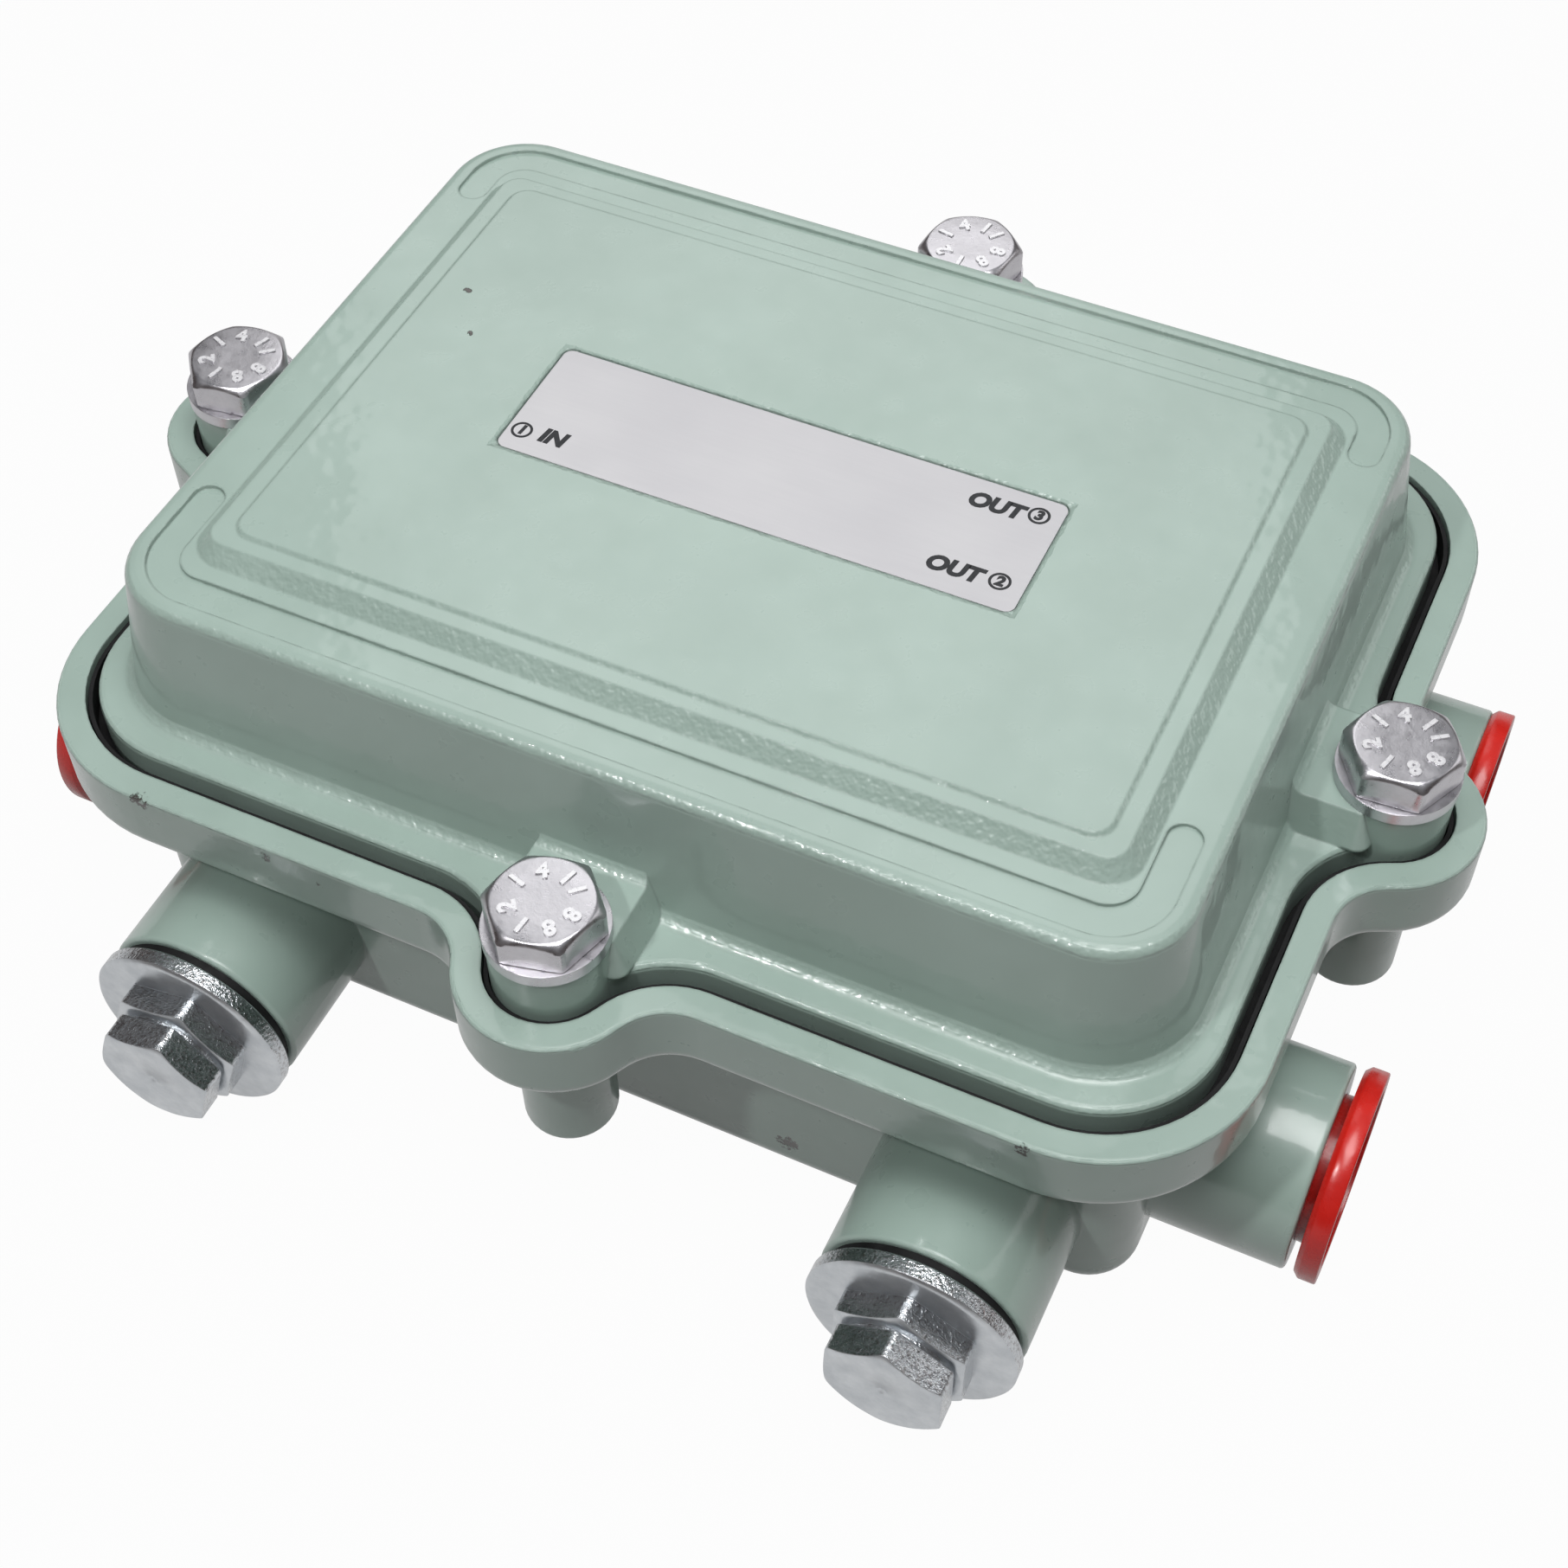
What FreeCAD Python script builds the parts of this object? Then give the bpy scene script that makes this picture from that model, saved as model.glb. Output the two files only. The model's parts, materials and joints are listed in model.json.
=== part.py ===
import FreeCAD, Part
import math
import os

import Sketcher
from FreeCAD import Placement, Rotation, Vector

# Outdoor coaxial line splitter in a two-piece die-cast housing. One line comes in and two go out. Each
# line can enter its corner of the housing from the side or from the end, so there are six ports.
# Millimetres. +X is the outgoing side, +Y the back, +Z up. The origin is on the underside, midway
# between the four lid bolts.

SIZES = {
    # base casting
    "tub_half_x": 60.0,
    "tub_half_y": 44.4,
    "tub_corner": 6.0,
    "tub_round": 2.5,
    "tub_wall": 3.2,
    "floor_thick": 3.2,
    "skirt_z": 29.4,
    "land_z": 35.0,
    "rim_z": 38.7,
    "rim_out_x": 8.8,
    "rim_out_y": 8.9,
    "rim_corner": 18.0,
    "rim_wall": 3.2,
    "rim_round": 0.5,
    "skirt_round": 2.5,
    "ear_radius": 10.3,
    "ear_blend": 7.0,
    "boss_radius": 5.1,
    "boss_z": 13.0,
    "boss_round": 0.8,
    "web_half": 3.0,
    "web_z": 19.0,
    "web_corner": 0.5,
    "root": 1.0,
    # seals between base and lid
    "channel_width": 3.4,
    "channel_depth": 2.0,
    "seal_clearance": 0.2,
    "lip_thick": 0.45,
    "lip_z": 38.1,
    "mesh_inset": 1.6,
    "mesh_width": 2.2,
    "mesh_depth": 1.8,
    "mesh_clearance": 0.1,
    # lid casting
    "lid_gap": 1.6,
    "flange_z": 40.0,
    "flange_round": 0.8,
    "block_in_x": 1.4,
    "block_in_y": 2.2,
    "block_corner": 9.0,
    "block_z": 56.5,
    "block_draft": 8.0,
    "block_round": 1.4,
    "foot_round": 1.6,
    "lid_wall": 3.0,
    "lid_roof": 3.0,
    "plateau_in_x": 6.3,
    "plateau_in_y": 7.6,
    "plateau_corner": 4.0,
    "plateau_rise": 1.8,
    "panel_in_x": 3.7,
    "panel_in_y": 3.4,
    "panel_corner": 2.5,
    "panel_rise": 0.4,
    "slope_angle": 45.0,
    "shoulder_in_x": 2.2,
    "shoulder_in_y": 2.0,
    "shoulder_corner": 7.0,
    "shoulder_band": 3.6,
    "shoulder_depth": 0.4,
    "shoulder_front_arm": 15.8,
    "shoulder_back_arm": 11.4,
    "seat_z": 44.2,
    "seat_radius": 6.3,
    "bridge_half": 8.0,
    "bridge_corner": 1.8,
    "bridge_draft": 21.0,
    "bridge_round": 1.5,
    "label_half_x": 29.8,
    "label_half_y": 8.4,
    "label_corner": 1.2,
    "label_recess": 0.4,
    "label_thick": 0.3,
    "label_clearance": 0.15,
    # lid bolts
    "bolt_out_x": 0.7,
    "bolt_out_y": 0.2,
    "bolt_flats": 11.1,
    "bolt_head": 4.0,
    "bolt_crown": 0.5,
    "crown_inside": 0.1,
    "bolt_radius": 3.1,
    "bolt_length": 25.4,
    "bolt_hole": 3.175,
    "bolt_hole_z": 16.0,
    "lid_hole": 3.5,
    "washer_radius": 6.5,
    "washer_hole": 3.4,
    "washer_thick": 1.5,
    # ports
    "port_z": 11.5,
    "port_radius": 11.5,
    "port_round": 0.5,
    "side_port_in": 17.6,
    "end_port_in": 16.6,
    "side_tube": 15.2,
    "end_tube": 15.0,
    "thread_radius": 7.94,
    "mouth_radius": 8.3,
    "mouth_depth": 7.0,
    # port plugs
    "plug_clearance": 0.06,
    "plug_shoulder_clearance": 0.1,
    "plug_shoulder_short": 0.3,
    "seal_thick": 1.2,
    "seal_radius": 10.7,
    "plug_flange": 11.7,
    "plug_flange_thick": 2.2,
    "plug_lower_flats": 14.3,
    "plug_lower": 3.0,
    "plug_neck": 0.5,
    "plug_neck_radius": 6.0,
    "plug_upper_flats": 12.7,
    "plug_upper": 3.4,
    "plug_thread": 8.0,
    "plug_crown": 0.5,
    "plug_dimple": 0.6,
    "plug_dimple_floor": 0.05,
    # push-in port caps
    "cap_flange": 11.8,
    "cap_flange_thick": 2.5,
    "cap_bevel": 0.6,
    "cap_lip": 1.8,
    "cap_recess": 1.0,
    "cap_proud": 1.0,
    "cap_body_clearance": 0.1,
    "cap_body": 6.2,
    "cap_wall": 1.1,
    "cap_end": 1.0,
    # terminals inside
    "holder_half": 7.5,
    "holder_top": 18.4,
    "holder_floor": 2.2,
    "block_half": 5.0,
    "block_clearance": 0.1,
    "block_top": 17.4,
    "pin_hole": 1.7,
    "guide_radius": 3.6,
    "clamp_radius": 2.0,
    "clamp_clearance": 0.07,
    "clamp_tip": 13.4,
    "clamp_head": 3.1,
    "clamp_head_thick": 2.6,
    "clamp_lift": 0.7,
    "clamp_root": 0.5,
    "clamp_slot": 0.8,
    "clamp_slot_depth": 1.1,
    "post_radius": 0.9,
    "post_offset": 4.0,
    "post_clearance": 0.12,
    "post_top": 29.2,
    # circuit board
    "board_z": 26.0,
    "board_thick": 1.6,
    "board_in_x": 2.8,
    "board_in_y": 2.6,
    "board_corner": 3.0,
    "access_hole": 4.0,
    "stand_x": 20.0,
    "stand_in": 5.6,
    "stand_radius": 3.4,
    "screw_radius": 1.45,
    "screw_clearance": 0.05,
    "screw_depth": 8.0,
    "screw_tip_room": 1.0,
    "screw_head": 2.8,
    "screw_head_thick": 2.0,
    # parts on the board
    "choke_in_x": 17.4,
    "choke_in_y": 6.8,
    "rod_radius": 3.0,
    "rod_length": 19.0,
    "coil_clearance": 0.15,
    "wire_radius": 0.6,
    "coil_pitch": 1.9,
    "coil_turns": 6.0,
    "coil_least_gap": 0.4,
    "lead_drop": 0.35,
    "core_x": 9.0,
    "core_y": 6.4,
    "core_height": 5.4,
    "core_bore": 1.1,
    "core_place": 9.0,
    "fuse_x": 10.9,
    "fuse_y": 3.8,
    "fuse_height": 8.6,
    "fuse_in_x": 1.4,
    "fuse_place_y": 6.0,
    "fuse_waist": 1.2,
    "clip_wall": 1.2,
    "clip_height": 5.0,
    "clip_floor": 1.5,
    "fuse_clearance": 0.1,
    "disc_radius": 3.4,
    "disc_thick": 2.4,
    "disc_place": 14.0,
    "disc_step": 9.0,
    "tube_radius": 3.5,
    "tube_length": 7.0,
    "tube_place": 24.0,
}

# places that follow from the sizes: the rim, the ports and the lid's block are set from the tub's walls,
# and whatever stands on one of these is set from it
PLAN = {
    "rim_x": "Size.tub_half_x + Size.rim_out_x",
    "rim_y": "Size.tub_half_y + Size.rim_out_y",
    "bolt_x": "Plan.rim_x + Size.bolt_out_x",
    "bolt_y": "Plan.rim_y + Size.bolt_out_y",
    "block_x": "Size.tub_half_x - Size.block_in_x",
    "block_y": "Size.tub_half_y - Size.block_in_y",
    "plateau_x": "Plan.block_x - Size.plateau_in_x",
    "plateau_y": "Plan.block_y - Size.plateau_in_y",
    "panel_x": "Plan.plateau_x - Size.panel_in_x",
    "panel_y": "Plan.plateau_y - Size.panel_in_y",
    "shoulder_x": "Plan.block_x - Size.shoulder_in_x",
    "shoulder_y": "Plan.block_y - Size.shoulder_in_y",
    "top_z": "Size.block_z + Size.plateau_rise + Size.panel_rise",
    "port_x": "Size.tub_half_x - Size.end_port_in",
    "port_y": "Size.tub_half_y - Size.side_port_in",
    "side_end": "Size.tub_half_x + Size.side_tube",
    "front_end": "Size.tub_half_y + Size.end_tube",
    "board_x": "Size.tub_half_x - Size.tub_wall - Size.board_in_x",
    "board_y": "Size.tub_half_y - Size.tub_wall - Size.board_in_y",
    "board_top": "Size.board_z + Size.board_thick",
    "stand_y": "Plan.board_y - Size.stand_in",
    "choke_x": "Plan.port_x - Size.choke_in_x",
    "choke_y": "Plan.port_y - Size.choke_in_y",
    "fuse_x": "Plan.port_x - Size.fuse_in_x",
}

doc = FreeCAD.newDocument("LineSplitter")
sheet = doc.addObject("Spreadsheet::Sheet", "Size")
for row, (alias, value) in enumerate(SIZES.items(), start=1):
    sheet.set("A%d" % row, alias)
    sheet.set("B%d" % row, str(value))
    sheet.setAlias("B%d" % row, alias)
doc.recompute()

PARTS = []
CUTS = []


def full(expression):
    """Write out the places of the plan, so that an expression names sizes on the sheet alone."""
    for name in reversed(PLAN):
        expression = expression.replace("Plan." + name, "(%s)" % PLAN[name])
    return expression


def bind(thing, field, expression):
    thing.setExpression(field, full(expression))


def size(expression):
    """The number that an expression on the sheet stands for."""
    found = sheet.evalExpression(full(expression))
    return float(getattr(found, "Value", found))


def keep(shape_object, label):
    """List an object as one named piece of the splitter."""
    shape_object.Label = label
    PARTS.append(shape_object)
    return shape_object


def place(thing, x="0", y="0", z="0", turn=None):
    """Put an object at a point given by expressions, turned if asked."""
    if turn is not None:
        thing.Placement = Placement(Vector(0, 0, 0), turn)
    for way, expression in zip("xyz", (x, y, z)):
        bind(thing, "Placement.Base." + way, expression)
    return thing


# bodies, sketches and features


def new_body(name):
    return doc.addObject("PartDesign::Body", name)


def origin_plane(body, role):
    return next(p for p in body.Origin.OriginFeatures if p.Role == role)


def new_sketch(body, name, shift="0", role="XY_Plane"):
    sketch = body.newObject("Sketcher::SketchObject", name)
    sketch.AttachmentSupport = (origin_plane(body, role), [""])
    sketch.MapMode = "FlatFace"
    bind(sketch, "AttachmentOffset.Base.z", shift)
    return sketch


class Rules:
    """Constraints of one outline, added together so that its sketch is solved once."""

    def __init__(self, sketch):
        self.sketch = sketch
        self.made = []
        self.bound = []

    def add(self, *terms):
        self.made.append(Sketcher.Constraint(*terms))

    def bind(self, *terms):
        """Add a constraint whose last term is an expression on the sheet."""
        expression = terms[-1]
        self.bound.append((len(self.made), expression))
        self.made.append(Sketcher.Constraint(*terms[:-1], size(expression)))

    def finish(self):
        first = self.sketch.ConstraintCount
        self.sketch.addConstraint(self.made)
        for number, expression in self.bound:
            bind(self.sketch, "Constraints[%d]" % (first + number), expression)


def draw_circle(sketch, x, y, radius):
    edge = sketch.addGeometry(Part.Circle(Vector(size(x), size(y), 0), Vector(0, 0, 1), size(radius)))
    rules = Rules(sketch)
    rules.bind("Radius", edge, radius)
    rules.bind("DistanceX", -1, 1, edge, 3, x)
    rules.bind("DistanceY", -1, 1, edge, 3, y)
    rules.finish()


def arc_at(cx, cy, radius, start, end):
    return Part.ArcOfCircle(Part.Circle(Vector(cx, cy, 0), Vector(0, 0, 1), radius), start, end)


def draw_rounded(sketch, left, right, front, back, corner):
    """A rectangle with four equal round corners, anticlockwise from its front edge."""
    x0, x1, y0, y1, r = (size(e) for e in (left, right, front, back, corner))
    quarter = math.pi / 2
    lines = [
        ((x0 + r, y0), (x1 - r, y0)),
        ((x1, y0 + r), (x1, y1 - r)),
        ((x1 - r, y1), (x0 + r, y1)),
        ((x0, y1 - r), (x0, y0 + r)),
    ]
    centres = [(x1 - r, y0 + r), (x1 - r, y1 - r), (x0 + r, y1 - r), (x0 + r, y0 + r)]
    edges = []
    for i in range(4):
        a, b = lines[i]
        edges.append(sketch.addGeometry(Part.LineSegment(Vector(*a, 0), Vector(*b, 0))))
        start = -quarter + i * quarter
        edges.append(sketch.addGeometry(arc_at(*centres[i], r, start, start + quarter)))
    rules = Rules(sketch)
    for here, after in zip(edges, edges[1:] + edges[:1]):
        rules.add("Tangent", here, 2, after, 1)
    for i, way in enumerate(("Horizontal", "Vertical", "Horizontal", "Vertical")):
        rules.add(way, edges[2 * i])
    for i in (1, 2, 3):
        rules.add("Equal", edges[1], edges[2 * i + 1])
    rules.bind("Radius", edges[1], corner)
    for i, (way, expression) in enumerate((("Y", front), ("X", right), ("Y", back), ("X", left))):
        rules.bind("Distance" + way, -1, 1, edges[2 * i], 1, expression)
    rules.finish()


def centred(sketch, half_x, half_y, corner):
    draw_rounded(sketch, "-(%s)" % half_x, half_x, "-(%s)" % half_y, half_y, corner)


def draw_eared(sketch, inset="0"):
    """The split line's outline with an ear round each bolt, moved inwards by the inset.

    Each side is a straight, a hollow blend arc, the ear's arc about the bolt, a blend arc and a straight.
    """
    half = ("Plan.rim_y - (%s)" % inset, "Plan.rim_x - (%s)" % inset)
    other = (half[1], half[0])
    bolt = ("Plan.bolt_y", "Plan.bolt_x")
    corner = "Size.rim_corner - (%s)" % inset
    ear = "Size.ear_radius - (%s)" % inset
    blend = "Size.ear_blend + (%s)" % inset
    edges = []
    for side in range(4):
        face, along = size(half[side % 2]), size(other[side % 2])
        out, r, re, rb = size(bolt[side % 2]), size(corner), size(ear), size(blend)
        turn = side * math.pi / 2
        # in the side's own frame: u runs along it, v points inwards, and the face is at v = -face
        reach = math.sqrt((re + rb) ** 2 - (face + rb - out) ** 2)
        lean = math.asin((face + rb - out) / (re + rb))

        def point(u, v):
            cosine, sine = math.cos(turn), math.sin(turn)
            return Vector(u * cosine - v * sine, u * sine + v * cosine, 0)

        def arc(u, v, radius, a0, a1, clockwise=False):
            where = point(u, v)
            made = arc_at(where.x, where.y, radius, a0 + turn, a1 + turn)
            return (made, clockwise)

        steps = [
            (Part.LineSegment(point(-(along - r), -face), point(-reach, -face)), False),
            arc(-reach, -(face + rb), rb, lean, math.pi / 2, True),
            arc(0, -out, re, math.pi + lean, 2 * math.pi - lean),
            arc(reach, -(face + rb), rb, math.pi / 2, math.pi - lean, True),
            (Part.LineSegment(point(reach, -face), point(along - r, -face)), False),
            arc(along - r, -(face - r), r, -math.pi / 2, 0),
        ]
        for made, clockwise in steps:
            edges.append((sketch.addGeometry(made), clockwise))
    rules = Rules(sketch)
    ends = [((2, 1) if back else (1, 2)) for _, back in edges]
    for i, (edge, _) in enumerate(edges):
        after = (i + 1) % len(edges)
        rules.add("Tangent", edge, ends[i][1], edges[after][0], ends[after][0])
    for side in range(4):
        row = [edge for edge, _ in edges[6 * side : 6 * side + 6]]
        first, blend_in, ear_arc, blend_out, last, corner_arc = row
        away = "-" if side in (0, 3) else ""
        level, cross = ("Y", "X") if side % 2 == 0 else ("X", "Y")
        straight = "Horizontal" if side % 2 == 0 else "Vertical"
        for line in (first, last):
            rules.add(straight, line)
            rules.bind("Distance" + level, -1, 1, line, 1, "%s(%s)" % (away, half[side % 2]))
        rules.bind("Distance" + level, -1, 1, ear_arc, 3, away + bolt[side % 2])
        rules.bind("Distance" + cross, -1, 1, ear_arc, 3, "0")
        rules.bind("Radius", ear_arc, ear)
        rules.bind("Radius", blend_in, blend)
        rules.bind("Radius", blend_out, blend)
        rules.bind("Radius", corner_arc, corner)
    rules.finish()


def pad(body, sketch, length, taper=None):
    """Add material along the sketch's normal."""
    made = body.newObject("PartDesign::Pad", sketch.Name + "_pad")
    made.Profile = sketch
    bind(made, "Length", length)
    if taper:
        bind(made, "TaperAngle", taper)
    doc.recompute()
    return made


def pocket(body, sketch, length, taper=None, up=False):
    """Take material away against the sketch's normal, or along it."""
    before = body.Tip.Shape.Volume
    made = body.newObject("PartDesign::Pocket", sketch.Name + "_pocket")
    made.Profile = sketch
    made.Reversed = up
    bind(made, "Length", length)
    if taper:
        bind(made, "TaperAngle", taper)
    doc.recompute()
    CUTS.append((made.Label, before, made.Shape.Volume))
    return made


def round_edges(body, radius, wanted):
    """Round the edges of the body's last feature for which wanted(edge) is true."""
    base = body.Tip
    names = ["Edge%d" % (i + 1) for i, edge in enumerate(base.Shape.Edges) if wanted(edge)]
    made = body.newObject("PartDesign::Fillet", base.Name + "_round")
    made.Base = (base, names)
    bind(made, "Radius", radius)
    doc.recompute()
    return made


def flat_at(edge, height):
    """Does the whole edge lie at this height?"""
    box = edge.BoundBox
    return abs(box.ZMin - height) < 1e-4 and abs(box.ZMax - height) < 1e-4


def beyond(edge, half_x, half_y):
    """Does the middle of the edge lie outside this rectangle about the origin?"""
    middle = edge.valueAt((edge.FirstParameter + edge.LastParameter) / 2)
    return abs(middle.x) > size(half_x) or abs(middle.y) > size(half_y)


def end_of_tube(edge):
    """Is this an edge on the outer end of a port tube?"""
    box = edge.BoundBox
    spans = ((box.XMin, box.XMax, size("Plan.side_end")), (box.YMin, box.YMax, size("Plan.front_end")))
    return any(abs(abs(low) - end) < 1e-4 and abs(abs(high) - end) < 1e-4 for low, high, end in spans)


BOLTS = {
    "front": ("0", "-Plan.bolt_y"),
    "right": ("Plan.bolt_x", "0"),
    "back": ("0", "Plan.bolt_y"),
    "left": ("-Plan.bolt_x", "0"),
}

STANDS = [("%sSize.stand_x" % a, "%sPlan.stand_y" % b) for a in ("", "-") for b in ("", "-")]

# each line's corner of the housing, as signs along X and Y
LINES = {"in": (-1, -1), "out_2": (1, -1), "out_3": (1, 1)}


def signed(sign, expression):
    return expression if sign > 0 else "-(%s)" % expression


def towards_wall(name, wall, half):
    """The rectangle from a bolt's axis to a wall of the tub or the block, as left, right, front and back."""
    across = ("-" + half, half)
    if name == "front":
        return (*across, "-Plan.bolt_y", "-(%s)" % wall[1])
    if name == "back":
        return (*across, wall[1], "Plan.bolt_y")
    if name == "left":
        return ("-Plan.bolt_x", "-(%s)" % wall[0], *across)
    return (wall[0], "Plan.bolt_x", *across)


def port_tubes():
    """Each row of tubes: its name, plane, start, length and the tubes' places along the wall."""
    depth_x = "Plan.side_end - Size.tub_half_x + Size.tub_wall"
    depth_y = "Plan.front_end - Size.tub_half_y + Size.tub_wall"
    wall_x, wall_y = "Size.tub_half_x - Size.tub_wall", "Size.tub_half_y - Size.tub_wall"
    return [
        ("right", "YZ_Plane", wall_x, depth_x, ("Plan.port_y", "-Plan.port_y")),
        ("left", "YZ_Plane", "-Plan.side_end", depth_x, ("-Plan.port_y",)),
        ("front", "XZ_Plane", wall_y, depth_y, ("Plan.port_x", "-Plan.port_x")),
        ("back", "XZ_Plane", "-Plan.front_end", depth_y, ("Plan.port_x",)),
    ]


def bolt_bosses(body):
    """Under each ear a round boss for the bolt, and a web that joins it to the tub."""
    wall = ("Size.tub_half_x - Size.root", "Size.tub_half_y - Size.root")
    for name, (x, y) in BOLTS.items():
        column = new_sketch(body, "boss_" + name, "Size.boss_z")
        draw_circle(column, x, y, "Size.boss_radius")
        pad(body, column, "Size.skirt_z + Size.root - Size.boss_z")
        web = new_sketch(body, "web_" + name, "Size.web_z")
        draw_rounded(web, *towards_wall(name, wall, "Size.web_half"), "Size.web_corner")
        pad(body, web, "Size.skirt_z + Size.root - Size.web_z")
    round_edges(body, "Size.boss_round", lambda e: flat_at(e, size("Size.boss_z")))


def port_bores(body):
    """A plain mouth and a thread, at the thread's outside diameter, through each tube."""
    for name, role, shift, depth, along in port_tubes():
        mouth_shift = shift if name in ("left", "back") else "%s + %s - Size.mouth_depth" % (shift, depth)
        bores = (
            ("thread", "Size.thread_radius", shift, depth),
            ("mouth", "Size.mouth_radius", mouth_shift, "Size.mouth_depth"),
        )
        for kind, radius, begin, length in bores:
            bore = new_sketch(body, "%s_%s" % (kind, name), begin, role)
            for place_along in along:
                draw_circle(bore, place_along, "Size.port_z", radius)
            pocket(body, bore, length, up=True)


def base_housing():
    """The lower casting: a tub with a floor, a skirt that widens into the rim, ears and port tubes."""
    body = new_body("BaseHousing")
    tub = new_sketch(body, "tub")
    centred(tub, "Size.tub_half_x", "Size.tub_half_y", "Size.tub_corner")
    pad(body, tub, "Size.land_z")
    round_edges(body, "Size.tub_round", lambda e: flat_at(e, 0))

    skirt = new_sketch(body, "skirt", "Size.skirt_z")
    draw_eared(skirt)
    pad(body, skirt, "Size.rim_z - Size.skirt_z")
    outside = ("Size.tub_half_x + Size.root", "Size.tub_half_y + Size.root")
    round_edges(
        body, "Size.skirt_round", lambda e: flat_at(e, size("Size.skirt_z")) and beyond(e, *outside)
    )
    round_edges(body, "Size.rim_round", lambda e: flat_at(e, size("Size.rim_z")))
    bolt_bosses(body)
    for name, role, shift, depth, along in port_tubes():
        tube = new_sketch(body, "tube_" + name, shift, role)
        for place_along in along:
            draw_circle(tube, place_along, "Size.port_z", "Size.port_radius")
        pad(body, tube, depth)
    round_edges(body, "Size.port_round", end_of_tube)

    rim = new_sketch(body, "rim_inside", "Size.rim_z")
    draw_eared(rim, "Size.rim_wall")
    pocket(body, rim, "Size.rim_z - Size.land_z")
    channel = new_sketch(body, "seal_channel", "Size.land_z")
    draw_eared(channel, "Size.rim_wall")
    draw_eared(channel, "Size.rim_wall + Size.channel_width")
    pocket(body, channel, "Size.channel_depth")
    cavity = new_sketch(body, "cavity", "Size.land_z")
    centred(
        cavity,
        "Size.tub_half_x - Size.tub_wall",
        "Size.tub_half_y - Size.tub_wall",
        "Size.tub_corner - Size.tub_wall",
    )
    pocket(body, cavity, "Size.land_z - Size.floor_thick")
    groove = new_sketch(body, "mesh_groove", "Size.land_z")
    mesh_ring(groove, "0")
    pocket(body, groove, "Size.mesh_depth")

    stands = new_sketch(body, "board_stands", "Size.floor_thick - Size.root")
    for x, y in STANDS:
        draw_circle(stands, x, y, "Size.stand_radius")
    pad(body, stands, "Size.board_z - Size.floor_thick + Size.root")
    taps = new_sketch(body, "stand_taps", "Size.board_z")
    for x, y in STANDS:
        draw_circle(taps, x, y, "Size.screw_radius + Size.screw_clearance")
    pocket(body, taps, "Size.screw_depth + Size.screw_tip_room")

    holes = new_sketch(body, "bolt_holes", "Size.land_z")
    for x, y in BOLTS.values():
        draw_circle(holes, x, y, "Size.bolt_hole")
    pocket(body, holes, "Size.land_z - Size.bolt_hole_z")
    port_bores(body)
    return keep(body, "base_housing")


def mesh_ring(sketch, clearance):
    """The ring groove just inside the rubber seal, narrowed by a clearance on both sides."""
    inner = "Size.tub_wall - Size.mesh_inset - (%s)" % clearance
    outer = "Size.tub_wall - Size.mesh_inset - Size.mesh_width + (%s)" % clearance
    for inset in (inner, outer):
        centred(
            sketch,
            "Size.tub_half_x - (%s)" % inset,
            "Size.tub_half_y - (%s)" % inset,
            "Size.tub_corner - (%s)" % inset,
        )


def weather_seal():
    """A rubber ring that fills its channel, with a thin lip up along the rim's inside."""
    body = new_body("WeatherSeal")
    outer = "Size.rim_wall + Size.seal_clearance"
    ring = new_sketch(body, "seal_ring", "Size.land_z - Size.channel_depth")
    draw_eared(ring, outer)
    draw_eared(ring, "Size.rim_wall + Size.channel_width - Size.seal_clearance")
    pad(body, ring, "Size.channel_depth")
    lip = new_sketch(body, "seal_lip", "Size.land_z")
    draw_eared(lip, outer)
    draw_eared(lip, outer + " + Size.lip_thick")
    pad(body, lip, "Size.lip_z - Size.land_z")
    return keep(body, "weather_seal")


def mesh_seal():
    body = new_body("MeshSeal")
    ring = new_sketch(body, "mesh_ring", "Size.land_z - Size.mesh_depth")
    mesh_ring(ring, "Size.mesh_clearance")
    pad(body, ring, "Size.mesh_depth")
    return keep(body, "mesh_seal")


def shoulder_channel(body, name, sign, end):
    """A shallow C-shaped channel on the shoulder, round two corners, with round ends."""
    half = size("Size.shoulder_band") / 2
    x1, y1, r = size("Plan.shoulder_x"), size("Plan.shoulder_y"), size("Size.shoulder_corner")
    band = 2 * half
    x0, y0 = x1 - band, y1 - band
    ri = r - band
    ye = size(end) + half
    sketch = new_sketch(body, name, "Size.block_z")

    def put(x, y):
        return Vector(x, sign * y, 0)

    def bend(cx, cy, radius, a0, a1):
        if sign > 0:
            return arc_at(cx, cy, radius, a0, a1), False
        return arc_at(cx, -cy, radius, -a1, -a0), True

    quarter = math.pi / 2
    steps = [
        (Part.LineSegment(put(x1, ye), put(x1, y1 - r)), False),
        bend(x1 - r, y1 - r, r, 0, quarter),
        (Part.LineSegment(put(x1 - r, y1), put(-(x1 - r), y1)), False),
        bend(-(x1 - r), y1 - r, r, quarter, 2 * quarter),
        (Part.LineSegment(put(-x1, y1 - r), put(-x1, ye)), False),
        bend(-(x1 - half), ye, half, -2 * quarter, 0),
        (Part.LineSegment(put(-x0, ye), put(-x0, y0 - ri)), False),
        bend(-(x0 - ri), y0 - ri, ri, quarter, 2 * quarter),
        (Part.LineSegment(put(-(x0 - ri), y0), put(x0 - ri, y0)), False),
        bend(x0 - ri, y0 - ri, ri, 0, quarter),
        (Part.LineSegment(put(x0, y0 - ri), put(x0, ye)), False),
        bend(x1 - half, ye, half, -2 * quarter, 0),
    ]
    for made, _ in steps:
        sketch.addGeometry(made)
    return pocket(body, sketch, "Size.shoulder_depth")


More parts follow.
